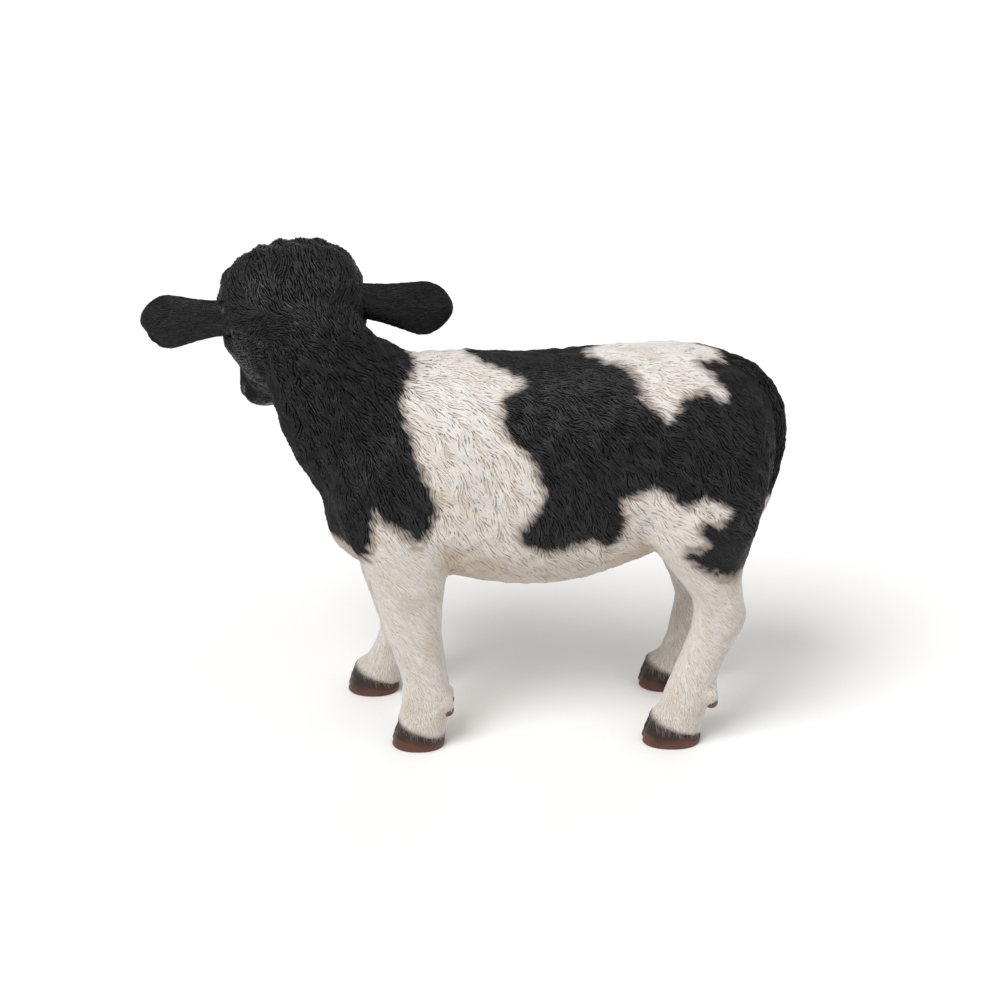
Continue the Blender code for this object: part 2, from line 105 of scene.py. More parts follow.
# Balls that fill what is carved again: socket, nostril and root of the ear on each side, and the mouth
FILLINGS = [
    (EYE_IN_HEAD, (9.4, 9.4, 9.4)), ((-84.0, 12.0, -2.0), (6.5, 8.0, 7.0)), (EAR_ROOT, (10.5, 12.0, 12.5)),
]
MOUTH_FILLING = ((-68.0, 0.0, -12.0), (23.0, 27.0, 11.0))
LID_POINTS = 96
LID_EDGE = 1.62  # where the lids meet the skin, against the opening's size
LID_FUR, SKIN_FUR = 1.13, 1.60  # where the fur starts on the lids, and on the skin around them
# Rings of the lids: size against the opening, distance from the eye's middle, and how far they have
# come up to the skin's own height. The last one lies under the skin.
LID_RINGS = [
    (0.90, 7.5, 0.0), (0.935, 8.4, 0.0), (0.96, 8.85, 0.0), (1.0, 9.1, 0.0), (1.05, 9.25, 0.04),
    (1.12, 9.3, 0.15), (1.20, 9.4, 0.34), (1.28, 9.5, 0.53), (1.33, 9.5, 0.65), (1.38, 9.5, 0.75),
    (1.46, 9.5, 0.88), (1.55, 9.5, 0.97), (1.62, 9.5, 1.0), (1.74, 9.5, 1.0),
]

# Hooves: height of the coronet in front and at the heel
HOOF_HEIGHTS = {"front": (18.5, 6.5), "hind": (19.5, 7.5)}
HOOF_POINTS = 120
HOOF_SQUARENESS = 2.3
TOE_LEAN, HEEL_LEAN = 4.8, 1.0
# share of the hoof's height, spread of its outline there, and rise above it
PASTERN = [(0.62, 0.80, 0), (0.80, 1.02, 0), (0.9, 1.04, 0), (1.0, 1.0, 0), (1.0, 0.92, 4), (1.0, 0.80, 10)]
PASTERN_TOP = 27.0
DEWCLAW_SWELLING = np.array([-1.2, 0.0, 3.0])
DEWCLAW_SWELLING_RADII = (7.0, 6.2, 7.6)
DEWCLAW_NEAR = 9.0  # nearer to its middle than this, strokes have half their length

# Camera, and lights: direction they come from, how wide they are in degrees, and strength
AIM = (20.5, -12.3, 147.0)
CAMERA_LENS = 102.0
CAMERA_DISTANCE = 1.7
CAMERA_ELEVATION = 25.0
LIGHTS = [
    ("key", (-0.55, -0.70, 1.20), 32.0, 2.35),
    ("fill", (0.8, -0.6, 0.7), 60.0, 0.45),
    ("back", (0.3, 0.9, 0.6), 60.0, 0.35),
]

# Fur: length, width, height, spacing of the roots and rise of the tip
STROKES = {
    "trunk": (10.2, 1.94, 1.00, 1.40, 0.20),
    "neck": (9.2, 1.90, 1.18, 1.44, 0.34),
    "head": (5.6, 1.24, 0.66, 1.18, 0.24),
    "ear": (6.0, 0.98, 0.40, 1.00, 0.12),
    "leg": (7.6, 1.16, 0.46, 0.98, 0.05),
    "tail": (8.6, 1.55, 0.90, 1.45, 0.50),
    "horn": (4.2, 0.85, 0.30, 1.15, 0.08),
}
POLL = (9.4, 2.05, 1.25, 1.55, 0.14)  # the same for the shaggy crown and the back of the head
FOOT = (5.4, 1.02, 0.36, 0.92, 0.05)
ALONG_BACK = (0.80, 0.72, 0.55, 0.76, 0.6)  # the same for the smoother back
LONG_STROKE = 7.0  # strokes from this length on have three rings, the others two
# Width and height of the rings, as shares of the stroke's
WIDTHS = {2: (0.95, 0.85), 3: (0.85, 1.0, 0.72)}
HEIGHTS = {2: (0.85, 0.612), 3: (0.68, 0.85, 0.476)}
FACE_SHARE = (0.62, 0.78, 0.80, 0.80, 0.7)  # how much smaller than on the head they are on the muzzle
SWITCH = (13.0, 1.5, 0.85, 1.7, 0.8)
PATCH = 0.003  # size of a stroke's patch on its OFBake map
SUNK = 0.15  # how far a stroke's underside lies in the skin
# Creases painted with tan shade: place along, off the middle, height, size
SHADED_CREASES = [(-10.0, 36.0, 126.0, 11.0), (108.0, 38.0, 130.0, 9.0), (100.0, 30.0, 122.0, 12.0)]
MIDDLE_SHARE = 0.4  # how much of a stroke's colour is that of its middle
STROKE_LIFT = 0.45  # how far a stroke's last ring lifts off, as a share of its tip's rise
PALE_RELIEF, DARK_RELIEF = 0.74, 1.12  # heights of white and of black strokes, as shares of the given ones
LOCK_SPACING = 4.6
LOCK_TURN, LOCK_BEND = 10.0, 6.0  # degrees that locks differ in direction, and bend with each station
LOCK_LIFT = 0.62  # how far the tips of the highest locks stand off, as a share of a stroke's rise
LOCK_CLOSING = 0.14  # how far a lock's strokes run together at its tip
TAIL_GROOVE = 1.3  # depth of the furrows beside the tail
LUMPS = {"trunk": 0.55, "neck": 0.75, "head": 0.35, "leg": 0.12, "ear": 0.0, "tail": 0.3}

# Lie of the coat. It spreads from the whorl of the forehead, and sinks along the trunk: height, degrees
WHORL = (-24.0, 0.0, 52.0)
TRUNK_FALL = [(97, 38), (115, 50), (133, 61), (151, 68), (185, 62), (209, 50), (222, 38), (245, 12)]
NECK_FALL = [(180, 75), (215, 60), (250, 46), (275, 34)]
FLANK_FALL = 0.55  # share of the fall that is left on the flank and thigh
SWIRL = {"trunk": 24.0, "neck": 20.0, "head": 12.0, "ear": 6.0, "leg": 9.0, "tail": 8.0, "horn": 5.0}

# Markings, as outlines on the trunk: place along the statue, and degrees round its girth from the
# back, positive down the left side. A degree is about a millimetre there.
GIRTH_HEIGHT = 175.0
SHOULDER = [
    (-32, 0), (-29.5, 12), (-36, 26), (-37, 36), (-32, 55), (-25, 78), (-18, 98), (-18, 110),
    (-24, 121), (-35, 116), (-45, 110), (-51.5, 105), (-54.5, 114), (-56, 124), (-62.5, 135),
    (-90, 146), (-160, 146), (-240, 60), (-240, -60), (-160, -146), (-96, -144), (-74, -128),
    (-60, -112), (-48, -104), (-42, -88), (-50, -70), (-54, -50), (-46, -30), (-38, -14),
]
HINDQUARTERS = [
    (6.5, 0), (13, 7), (24, 12), (34, 21), (32, 27), (24, 33), (23, 44), (27, 54), (40, 67), (44, 79),
    (47.5, 92), (42, 104), (38, 111), (33, 115), (36, 124), (50, 128.5), (66, 124.5), (76, 123),
    (83, 127.5), (90, 123), (93, 109), (90, 94), (100, 91), (111, 86), (120, 92), (128, 97.5),
    (139, 93), (149, 95), (156, 103), (150, 108.5), (137, 111.5), (144, 119.5), (130, 125),
    (137, 130), (150, 134.5), (161, 139), (190, 146), (260, 120), (260, -110), (190, -136),
    (160, -134), (148, -124), (140, -108), (128, -100), (118, -106), (108, -98), (102, -82),
    (88, -74), (74, -84), (58, -100), (38, -104), (22, -94), (14, -78), (2, -64), (-8, -46), (-4, -22),
]
RUMP = [
    (70, -4), (75, 5), (82, 12), (92, 16), (99, 25), (104, 35), (110, 42), (119, 48), (124, 41),
    (128, 35), (137, 31.5), (150, 35), (152, 29), (146, 21), (136, 12), (145, 9), (151.5, 7),
    (149, -6), (138, -17), (128, -34), (116, -40), (106, -30), (92, -26), (80, -18),
]
BREAST = (-58.0, 134.0)  # ahead of this place and above this height the breast is black too
BUTTOCK = (161.0, 126.0)
# Half width of the white blaze along the face: distance before the middle of the brain case, width
BLAZE = [(26, -4), (31, 1.5), (36, 5.5), (44, 7.5), (54, 7), (66, 9), (76, 13), (84, 13), (100, 10)]
FADE = 1.4  # half width of the sprayed edge of a marking

COLOURS = {
    "white": (0.705, 0.692, 0.684),
    # white_groove: the tan paint in the white's grooves, made darker as painted shade
    "white_groove": (0.50, 0.43, 0.35),
    # tan: random blotches of the white, and its painted shade low on the sides, under the belly, between the
    # legs and in creases
    "tan": (0.52, 0.44, 0.355),
    "rim": (0.17, 0.115, 0.075),
    # black_groove: painted shade in the grooves of the black, far darker than its ridges
    "black": (0.0112, 0.0112, 0.0122),
    "black_groove": (0.0010, 0.0010, 0.0012),
    "nose": (0.035, 0.029, 0.029),
    "nose_dark": (0.011, 0.009, 0.009),
    "lid": (0.010, 0.009, 0.009),
    "ear_inside": (0.030, 0.021, 0.020),
    "hoof_top": (0.0205, 0.0118, 0.0085),
    "hoof_sole": (0.110, 0.039, 0.021),
    "dewclaw": (0.085, 0.055, 0.042),
    "mouth": (0.03, 0.014, 0.013),
    "eye_white": (0.22, 0.16, 0.12),
    "iris": (0.030, 0.012, 0.006),
    "pupil": (0.004, 0.0035, 0.0035),
}
COLOURS = {name: np.array(colour) for name, colour in COLOURS.items()}

for leftover in list(bpy.data.objects):
    bpy.data.objects.remove(leftover)
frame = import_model()
rng = np.random.default_rng(SEED)


def kind_of(node):
    """The class of coat on a node."""
    return node.split("_")[0]


# ---------------------------------------------------------------- places worked out from the frame

def centre_of(node):
    """The middle of a node's box."""
    low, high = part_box(node)
    return np.array((low + high) / 2 / MM)


def hoof_heights(foot):
    """Heights of the coronet in front and at the heel."""
    return HOOF_HEIGHTS[foot.split("_")[0]]


def head_matrix():
    """From the head's own frame to the statue's. Both eyes are balls, so their boxes give its place."""
    turn = Matrix.Rotation(math.radians(-HEAD_TURN), 4, "Z")
    pitch = Matrix.Rotation(math.radians(-HEAD_PITCH), 4, "Y")
    roll = Matrix.Rotation(math.radians(HEAD_ROLL), 4, "X")
    turned = turn @ pitch @ roll
    between_eyes = (Vector(centre_of("eye_left")) + Vector(centre_of("eye_right"))) / 2
    offset = turned @ Vector((EYE_IN_HEAD[0], 0, EYE_IN_HEAD[2]))
    return Matrix.Translation(between_eyes - offset) @ turned


HEAD = np.array(head_matrix())
MIDDLE_Y = centre_of("trunk")[1]


def to_head(points):
    """Points of the statue in the head's frame."""
    return (points - HEAD[:3, 3]) @ HEAD[:3, :3]


def from_head(points):
    return np.asarray(points, float) @ HEAD[:3, :3].T + HEAD[:3, 3]


# ---------------------------------------------------------------- small tools

def ramp(value, low, high):
    """0 at low, 1 at high, with eased ends."""
    t = np.clip((value - low) / (high - low), 0, 1)
    return t * t * (3 - 2 * t)


def unit(vectors):
    return vectors / np.maximum(np.linalg.norm(vectors, axis=-1, keepdims=True), 1e-9)


def waves(points, length, seed, count=10):
    """A smooth random field of about -1 to 1 whose features are about this long."""
    own = np.random.default_rng(seed)
    directions = unit(own.normal(size=(count, 3)))
    sizes = own.uniform(0.7, 1.4, count) / length
    phases = own.uniform(0, 2 * np.pi, count)
    return np.sin(2 * np.pi * (points @ directions.T) * sizes + phases).sum(1) / math.sqrt(count)


def read_off(value, table):
    """The second column of the table at this value of the first."""
    return np.interp(value, *zip(*table))


def curve_through(points, steps=5):
    """A closed Catmull-Rom curve through points of a plane."""
    rows = np.asarray(points, float)
    before, after, beyond = np.roll(rows, 1, 0), np.roll(rows, -1, 0), np.roll(rows, -2, 0)
    made = []
    for t in np.arange(steps) / steps:
        made.append(0.5 * (2 * rows + (after - before) * t
                           + (2 * before - 5 * rows + 4 * after - beyond) * t ** 2
                           + (3 * rows - before - 3 * after + beyond) * t ** 3))
    return np.stack(made, 1).reshape(-1, 2)


def depth_inside(places, outline):
    """Signed distance from each place to a closed outline, positive inside."""
    nearest = np.full(len(places), 1e9)
    inside = np.zeros(len(places), bool)
    for start, end in zip(outline, np.roll(outline, -1, 0)):
        along = end - start
        t = np.clip((places - start) @ along / max(along @ along, 1e-9), 0, 1)
        nearest = np.minimum(nearest, np.linalg.norm(places - start - t[:, None] * along, axis=1))
        crosses = (start[1] > places[:, 1]) != (end[1] > places[:, 1])
        if along[1]:
            at = start[0] + (places[:, 1] - start[1]) * along[0] / along[1]
            inside ^= crosses & (places[:, 0] < at)
    return np.where(inside, nearest, -nearest)


def mesh_from(name, points, faces, smooth=True):
    """A mesh from points in millimetres and faces that all have the same number of corners."""
    points, faces = np.asarray(points, np.float32), np.asarray(faces, np.int32)
    mesh = bpy.data.meshes.new(name)
    mesh.vertices.add(len(points))
    mesh.vertices.foreach_set("co", (points * MM).ravel())
    mesh.loops.add(faces.size)
    mesh.loops.foreach_set("vertex_index", faces.ravel())
    mesh.polygons.add(len(faces))
    mesh.polygons.foreach_set("loop_start", np.arange(0, faces.size, faces.shape[1], dtype=np.int32))
    mesh.polygons.foreach_set("use_smooth", np.broadcast_to(smooth, len(faces)).astype(bool))
    mesh.update(calc_edges=True)
    return mesh


def linked(name, data):
    """A new object in the scene."""
    made = bpy.data.objects.new(name, data)
    bpy.context.scene.collection.objects.link(made)
    return made


def piece(name, mesh, material):
    """A visible piece of the statue. Nothing moves on it, so all of them ride on the root."""
    made = linked(name, mesh)
    made.data.materials.clear()
    made.data.materials.append(material)
    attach(made, "root")
    return made


def rows_of(items, attribute, width, kind=np.float32):
    """One attribute of all the items, as rows of this width."""
    values = np.empty(len(items) * width, kind)
    items.foreach_get(attribute, values)
    return values.reshape(-1, width)


def points_of(mesh):
    return rows_of(mesh.vertices, "co", 3).astype(float) / MM


def triangles_of(mesh):
    mesh.calc_loop_triangles()
    return rows_of(mesh.loop_triangles, "vertices", 3, np.int32)


def edges_of(mesh):
    return rows_of(mesh.edges, "vertices", 2, np.int32)


def normals_of(mesh):
    return rows_of(mesh.vertex_normals, "vector", 3).astype(float)


def tree_of(points, corners):
    return BVHTree.FromPolygons(points.tolist(), corners.tolist())


def set_points(mesh, points):
    mesh.vertices.foreach_set("co", (points * MM).astype(np.float32).ravel())
    mesh.update()


def averaged(values, edges, rounds, pull=0.5):
    """The values of a mesh's points, evened out along its edges."""
    a, b = edges.T
    count = np.bincount(a, minlength=len(values)) + np.bincount(b, minlength=len(values))
    count = np.maximum(count, 1)[:, None]
    values = values.reshape(len(values), -1).copy()
    for _ in range(rounds):
        total = np.empty_like(values)
        for axis in range(values.shape[1]):
            column = values[:, axis]
            total[:, axis] = (np.bincount(a, column[b], len(values))
                              + np.bincount(b, column[a], len(values)))
        values += pull * (total / count - values)
    return values


def faired(points, edges, rounds):
    """Smooths facets away without shrinking the form: each step in is followed by a step out."""
    for _ in range(rounds):
        points = averaged(points, edges, 1, 0.55)
        points = averaged(points, edges, 1, -0.57)
    return points


# ---------------------------------------------------------------- skin

def node_surface(node):
    """Points and triangles of a CAD node, its loose corners welded."""
    mesh = frame["nodes"][node].data
    corners = triangles_of(mesh)
    points, inverse = np.unique(np.round(points_of(mesh), 3), axis=0, return_inverse=True)
    return points, inverse.ravel()[corners]


def outward(points, triangles):
    a, b, c = (points[triangles[:, k]] for k in range(3))
    facing = np.cross(b - a, c - a)
    total = np.zeros_like(points)
    for k in range(3):
        np.add.at(total, triangles[:, k], facing)
    return unit(total)


def ball(centre, radii, segments=24, rings=16):
    """Points and triangles of an ellipsoid."""
    made = bmesh.new()
    bmesh.ops.create_uvsphere(made, u_segments=segments, v_segments=rings, radius=1.0)
    bmesh.ops.triangulate(made, faces=made.faces)
    points = np.array([v.co for v in made.verts]) * radii + centre
    corners = np.array([[v.index for v in f.verts] for f in made.faces])
    made.free()
    # Triangulation gives them in another order each time, so they are put in one of their own
    first = corners.argmin(1)[:, None]
    corners = np.take_along_axis(corners, (first + np.arange(3)) % 3, 1)
    return points, corners[np.lexsort(corners.T)]


def hoof_outline(foot, spread, share):
    """A ring round the hoof at this share of its height, without its cleft."""
    low, high = (np.array(corner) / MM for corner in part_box("hoof_" + foot))
    front, heel = hoof_heights(foot)
    half, middle = (high - low)[:2] / 2, (low + high)[:2] / 2
    turn = 2 * np.pi * np.arange(HOOF_POINTS) / HOOF_POINTS
    c, s = (np.sign(v) * np.abs(v) ** (2 / HOOF_SQUARENESS) for v in (np.cos(turn), np.sin(turn)))
    x, y = half[0] * c * spread, half[1] * s * spread
    x = x + share * (HEEL_LEAN + (TOE_LEAN - HEEL_LEAN) * ramp(-c, -0.7, 0.9)) - 0.5
    height = (front + heel) / 2 - x * (front - heel) / (2 * half[0])
    return np.column_stack([middle[0] + x, middle[1] + y, share * height])


def pastern(foot):
    """The coronet's roll over the top of the hoof, and the flesh between it and the leg."""
    leg = points_of(frame["nodes"]["leg_" + foot].data)
    above = leg[np.abs(leg[:, 2] - PASTERN_TOP) < 5]
    top = (above.min(0) + above.max(0)) / 2
    rings = []
    for share, spread, rise in PASTERN:
        ring = hoof_outline(foot, spread, share)
        ring[:, 2] += rise
        drawn = ramp(rise, 0, 12)
        ring[:, :2] += drawn * (top[:2] - ring[:, :2].mean(0))
        rings.append(ring)
    return lofted(rings)


def fillings():
    """What closes the skin: filled sockets, nostrils and mouth, pasterns, and swellings over dewclaws."""
    forms = []
    for side in SIDES.values():
        forms += [ball((x, side * y, z), radii) for (x, y, z), radii in FILLINGS]
    forms.append(ball(*MOUTH_FILLING))
    forms = [(from_head(points), corners) for points, corners in forms]
    forms += [pastern(foot) for foot in FEET]
    for node in frame["nodes"]:
        if node.startswith("dewclaw"):
            swelling = centre_of(node) + DEWCLAW_SWELLING
            forms.append(ball(swelling, DEWCLAW_SWELLING_RADII))
    return forms


def joined(forms):
    points, corners, count = [], [], 0
    for own, triangles in forms:
        points.append(own)
        corners.append(triangles + count)
        count += len(own)
    return np.vstack(points), np.vstack(corners)


def evaluated(obj):
    bpy.context.view_layer.update()
    return bpy.data.meshes.new_from_object(obj.evaluated_get(bpy.context.evaluated_depsgraph_get()))


def skin_mesh():
    """One closed surface round all the flesh but the ears, faired."""
    forms = []
    for node in FLESH:
        if node not in EARS:
            points, triangles = node_surface(node)
            forms.append((points + LET_OUT * outward(points, triangles), triangles))
    forms += fillings()
    rough = linked("skin_source", mesh_from("skin_source", *joined(forms)))
    fuse = rough.modifiers.new("fuse", "REMESH")
    fuse.mode = "VOXEL"
    fuse.voxel_size = SKIN_VOXEL * MM
    mesh = evaluated(rough)
    bpy.data.objects.remove(rough)
    keep_largest(mesh)
    edges = edges_of(mesh)
    set_points(mesh, faired(points_of(mesh), edges, FAIRING))
    return mesh


def ear_mesh(node):
    """The ear as the frame has it, rounded by subdivision and drawn in by the coat's depth."""
    points, triangles = node_surface(node)
    mesh = mesh_from(node + "_skin", points, triangles)
    whole = bmesh.new()
    whole.from_mesh(mesh)
    bmesh.ops.join_triangles(whole, faces=whole.faces, angle_face_threshold=0.9,
                             angle_shape_threshold=3.1)
    whole.to_mesh(mesh)
    whole.free()
    made = linked(node + "_skin", mesh)
    rounded = made.modifiers.new("rounded", "SUBSURF")
    rounded.levels = rounded.render_levels = 2
    made.data = evaluated(made)
    made.modifiers.clear()
    mesh = made.data
    set_points(mesh, faired(points_of(mesh), edges_of(mesh), 6))
    set_points(mesh, hollowed(points_of(mesh), normals_of(mesh), triangles_of(mesh)))
    set_points(mesh, points_of(mesh) - COAT_DEPTH["ear"] * normals_of(mesh))
    return made


def hollowed(points, normals, corners):
    """The ear with its front drawn in to a bowl between its rims, deepest near the root."""
    middle = points.mean(0)
    long, wide, thin = np.linalg.svd(points - middle, full_matrices=False)[2]
    outward_side = np.sign((middle - HEAD[:3, 3]) @ long)
    along = (points - middle) @ long * outward_side
    along = (along - along.min()) / np.ptp(along)
    across = (points - middle) @ wide
    steps = np.linspace(0, 1, 13)
    which = np.clip(np.digitize(along, steps) - 1, 0, 11)
    low = np.array([across[which == k].min() for k in range(12)])
    high = np.array([across[which == k].max() for k in range(12)])
    centres = (steps[:-1] + steps[1:]) / 2
    low, high = np.interp(along, centres, low), np.interp(along, centres, high)
    off = np.abs(2 * (across - low) / (high - low) - 1)
    bowl = (1 - ramp(off, 0.30, 0.86)) * ramp(along, 0.10, 0.30) * (1 - ramp(along, 0.68, 0.93))
    back = thin * np.sign(thin @ HEAD[:3, 0])
    facing = ramp(-(normals @ back), 0.1, 0.5)
    fold = 0.5 * np.cos(off * 9) * ramp(0.7 - along, 0, 0.3) * (1 - ramp(off, 0.55, 0.9))
    depth = (EAR_BOWL * bowl + fold * ramp(along, 0.1, 0.3)) * facing
    tree = tree_of(points, corners)
    room = np.full(len(points), 99.0)
    for index in np.flatnonzero(facing > 0.02):
        far = tree.ray_cast(Vector(points[index] + 0.3 * back), Vector(back), 40.0)[3]
        room[index] = far - EAR_WALL if far else 0.0
    depth = np.minimum(depth, np.maximum(room, 0.0))
    upper_edge = np.where(wide[2] > 0, high, low)
    pivot = 0.75 * upper_edge + 0.25 * (low + high - upper_edge)
    widened = (across - pivot) * (read_off(along, EAR_WIDTHS) - 1)
    return points + depth[:, None] * back + widened[:, None] * wide


def with_ears(mesh):
    """The skin and both ears made one closed surface."""
    body = linked("skin_body", mesh)
    ears = [ear_mesh(node) for node in EARS]
    for ear in ears:
        union = body.modifiers.new(ear.name, "BOOLEAN")
        union.operation = "UNION"
        union.solver = "MANIFOLD"
        union.object = ear
    made = evaluated(body)
    for obj in [body, *ears]:
        bpy.data.objects.remove(obj)
    return made


def keep_largest(mesh):
    """Drops the inner walls that closed cavities leave."""
    whole = bmesh.new()
    whole.from_mesh(mesh)
    left, best = set(whole.verts), []
    while left:
        start = left.pop()
        group, front = [start], [start]
        while front:
            here = front.pop()
            for edge in here.link_edges:
                other = edge.other_vert(here)
                if other in left:
                    left.discard(other)
                    group.append(other)
                    front.append(other)
        if len(group) > len(best):
            best = group
    kept = set(best)
    bmesh.ops.delete(whole, geom=[v for v in whole.verts if v not in kept], context="VERTS")
    whole.to_mesh(mesh)
    whole.free()


def nearest_nodes(points):
    """Which node of flesh each point lies nearest to, as an index into FLESH."""
    surfaces = [node_surface(node) for node in FLESH]
    owners = np.repeat(np.arange(len(FLESH)), [len(triangles) for _, triangles in surfaces])
    tree = tree_of(*joined(surfaces))
    return owners[[tree.find_nearest(p)[2] for p in points.tolist()]]


def by_kind(table, node_of):
    """The table's values for the kind of node of each point."""
    rows = np.array([table[kind_of(node)] for node in FLESH], float)
    return rows[node_of]


def sculpted(points, normals):
    """The face carved in: brow, sockets, bridge of the nose, cheeks, nostrils, lips."""
    at = to_head(points)
    x, y, z = at.T
    out = np.abs(y)
    near_face = ramp(-x, -12, 0) * (np.abs(x) < 120)
    rise = np.zeros(len(points))

    # bridge of the nose: flat above, drawn in at its sides
    bridge = np.exp(-((x + 52) / 15) ** 2) * np.exp(-((z - 2) / 13) ** 2) * ramp(out, 12, 24)
    rise -= 2.6 * bridge
    # hollow before the eye, where the tear runs
    rise -= 2.6 * np.exp(-((x + 34) / 8) ** 2 - ((z - 3) / 8) ** 2) * ramp(out, 16, 26)
    # brow over the eye
    rise += 1.6 * np.exp(-((x + 17) / 11) ** 2 - ((z - 16) / 5) ** 2) * ramp(out, 16, 28)
    # bone under the eye, and the round of the cheek
    rise += 1.3 * np.exp(-((x + 26) / 16) ** 2 - ((z + 9 + 0.25 * (x + 26)) / 4) ** 2) * ramp(out, 18, 28)
    rise += 1.2 * np.exp(-((x + 4) / 15) ** 2 - ((z + 16) / 12) ** 2) * ramp(out, 20, 34)
    # dip of the forehead between the eyes
    rise -= 1.3 * np.exp(-((x + 34) / 13) ** 2 - (y / 12) ** 2) * ramp(z, 5, 15)

    # wings of the nostrils, and the nose pad's flat front between them
    across, up = out - NOSTRIL[1], z - NOSTRIL[2]
    front = ramp(-x, 70, 80)
    rise += 1.9 * np.exp(-((across + 1) / 7) ** 2 - ((up - 1) / 7.5) ** 2) * front
    rise += 1.2 * np.exp(-(out / 17) ** 6) * np.exp(-((z + 7) / 5) ** 2) * ramp(-x, 74, 84)
    # lips
    rise += 1.1 * np.exp(-((z - mouth_height(x) - 3.2) / 2.6) ** 2) * ramp(-x, 58, 70)
    rise += 1.3 * np.exp(-((z - mouth_height(x) + 3.6) / 3.0) ** 2) * ramp(-x, 56, 68)
    points = points + (near_face * rise)[:, None] * normals

    # openings, cut last and straight in
    at = to_head(points)
    x, y, z = at.T
    out = np.abs(y)
    cut = np.zeros(len(points))
    curl = nostril_places(out, z)
    front = ramp(-x, 74, 79)
    hole = 1 - ramp(curl, 0.55, 1.12)
    cut += front * 0.75 * np.exp(-((curl - 1.45) / 0.3) ** 2)
    mouth = z - mouth_height(x)
    cut -= 2.3 * np.exp(-(mouth / 0.75) ** 2) * ramp(-x, 60, 65) * (1 - hole * front)
    # groove down the middle of the upper lip
    cut -= 0.7 * np.exp(-(y / 0.9) ** 2) * ramp(-x, 82, 87) * ramp(-z, -6, 1) * ramp(z, -15, -12)
    inward = from_head(np.array([1.0, 0, 0.25])) - from_head(np.zeros(3))
    return points + cut[:, None] * normals + (NOSTRIL_DEPTH * front * hole)[:, None] * inward


def mouth_height(x):
    """Height of the mouth's line in the head's frame: level in front, and a little up at its corners."""
    return MOUTH_HEIGHT + 3.0 * ramp(x, -84, -58)


def nostril_places(out, z):
    """Distance from the nostril's middle, 1 at its rim: a comma, round below and drawn out at its top."""
    tilt = math.radians(NOSTRIL_TILT)
    across, up = out - NOSTRIL[1], z - NOSTRIL[2]
    long = across * math.cos(tilt) + up * math.sin(tilt)
    short = -across * math.sin(tilt) + up * math.cos(tilt)
    short = short + 0.05 * long ** 2
    slim = NOSTRIL_RADII[1] * (1 - 0.22 * np.clip(long / NOSTRIL_RADII[0], -1.5, 1.5))
    return np.sqrt((long / NOSTRIL_RADII[0]) ** 2 + (short / slim) ** 2)


def eye_frame(side):
    """The eye's middle in the statue's frame, with its forward, upward and outward directions as rows."""
    out = unit(np.array([-EYE_TURN, side * 1.0, EYE_RAISE]))
    forward = np.array([-1.0, 0.0, EYE_SLANT])
    forward = unit(forward - out * (forward @ out))
    upward = np.cross(out, forward) * side
    centre = centre_of("eye_left" if side < 0 else "eye_right")
    return centre, np.array([forward, upward, out]) @ HEAD[:3, :3].T


def opening_edge(turn):
    """How far the lids' opening reaches from the gaze's line, in the direction `turn` round it."""
    forward, up = np.cos(turn), np.sin(turn)
    half = np.where(up > 0, EYE_OPENING[1], EYE_OPENING[2])
    length = np.where(forward > 0, EYE_OPENING[0], EYE_OPENING[0] * 0.95)
    return 1 / ((np.abs(forward) / length) ** 1.6 + (np.abs(up) / half) ** 1.6) ** (1 / 1.6)


def beyond_opening(local):
    """For places in an eye's frame, how far off the gaze they are: 1 at the edge of the lids' opening."""
    off = np.hypot(local[:, 0], local[:, 1])
    return off / opening_edge(np.arctan2(local[:, 1], local[:, 0])) + 9 * (local[:, 2] < 0)


def with_eyes(points):
    """Sinks the skin inside the lids' outer edge, so that the eyeball and the lids lie over it."""
    for side in SIDES.values():
        centre, axes = eye_frame(side)
        local = (points - centre) @ axes.T
        distance = np.linalg.norm(local, axis=1)
        inner = (1 - ramp(beyond_opening(local), 1.25, 1.5)) * (distance < 13)
        reach = distance + inner * (np.minimum(distance, EYE_RADIUS - 1.5) - distance)
        points = centre + (local * (reach / np.maximum(distance, 1e-6))[:, None]) @ axes
    return points


def refine(mesh, zones):
    """Halves the faces of each zone of the mesh, a zone being a test on points."""
    for inside in zones:
        chosen = inside(points_of(mesh))
        whole = bmesh.new()
        whole.from_mesh(mesh)
        whole.verts.ensure_lookup_table()
        edges = [e for e in whole.edges if chosen[e.verts[0].index] and chosen[e.verts[1].index]]
        bmesh.ops.subdivide_edges(whole, edges=edges, cuts=1, use_grid_fill=True, smooth=0.0)
        whole.to_mesh(mesh)
        whole.free()


def near_mouth(points):
    at = to_head(points)
    return (at[:, 0] < -52) & (at[:, 2] > -27) & (np.linalg.norm(at, axis=1) < 112)


def near_nostrils(points):
    at = to_head(points)
    return (at[:, 0] < -76) & (np.abs(at[:, 2]) < 12) & (np.abs(at[:, 1]) < 30)


def near_lips(points):
    at = to_head(points)
    near = (at[:, 0] < -54) & (np.linalg.norm(at, axis=1) < 112)
    return near & (np.abs(at[:, 2] - mouth_height(at[:, 0])) < 3.5)


def near_eyes(points):
    return sum(np.linalg.norm(points - eye_frame(side)[0], axis=1) < 15.5 for side in SIDES.values()) > 0


def thinned(mesh):
    """The skin with no more triangles than it may have. The face keeps all of its own."""
    obj = linked("thinned", mesh)
    points = points_of(mesh)
    kinds = node_of_each(points)
    at = to_head(points)
    keep = (kinds == "head") & ((at[:, 0] < -60) | near_eyes(points)) | (kinds == "ear")
    group = obj.vertex_groups.new(name="thin")
    group.add(np.flatnonzero(~keep).tolist(), 1.0, "REPLACE")
    thin = obj.modifiers.new("thin", "DECIMATE")
    thin.ratio = SKIN_TRIANGLES / len(triangles_of(mesh))
    thin.vertex_group = "thin"
    made = evaluated(obj)
    bpy.data.objects.remove(obj)
    return made


def node_of_each(points):
    """The kind of node that each point lies on."""
    return np.array([kind_of(node) for node in FLESH])[nearest_nodes(points)]


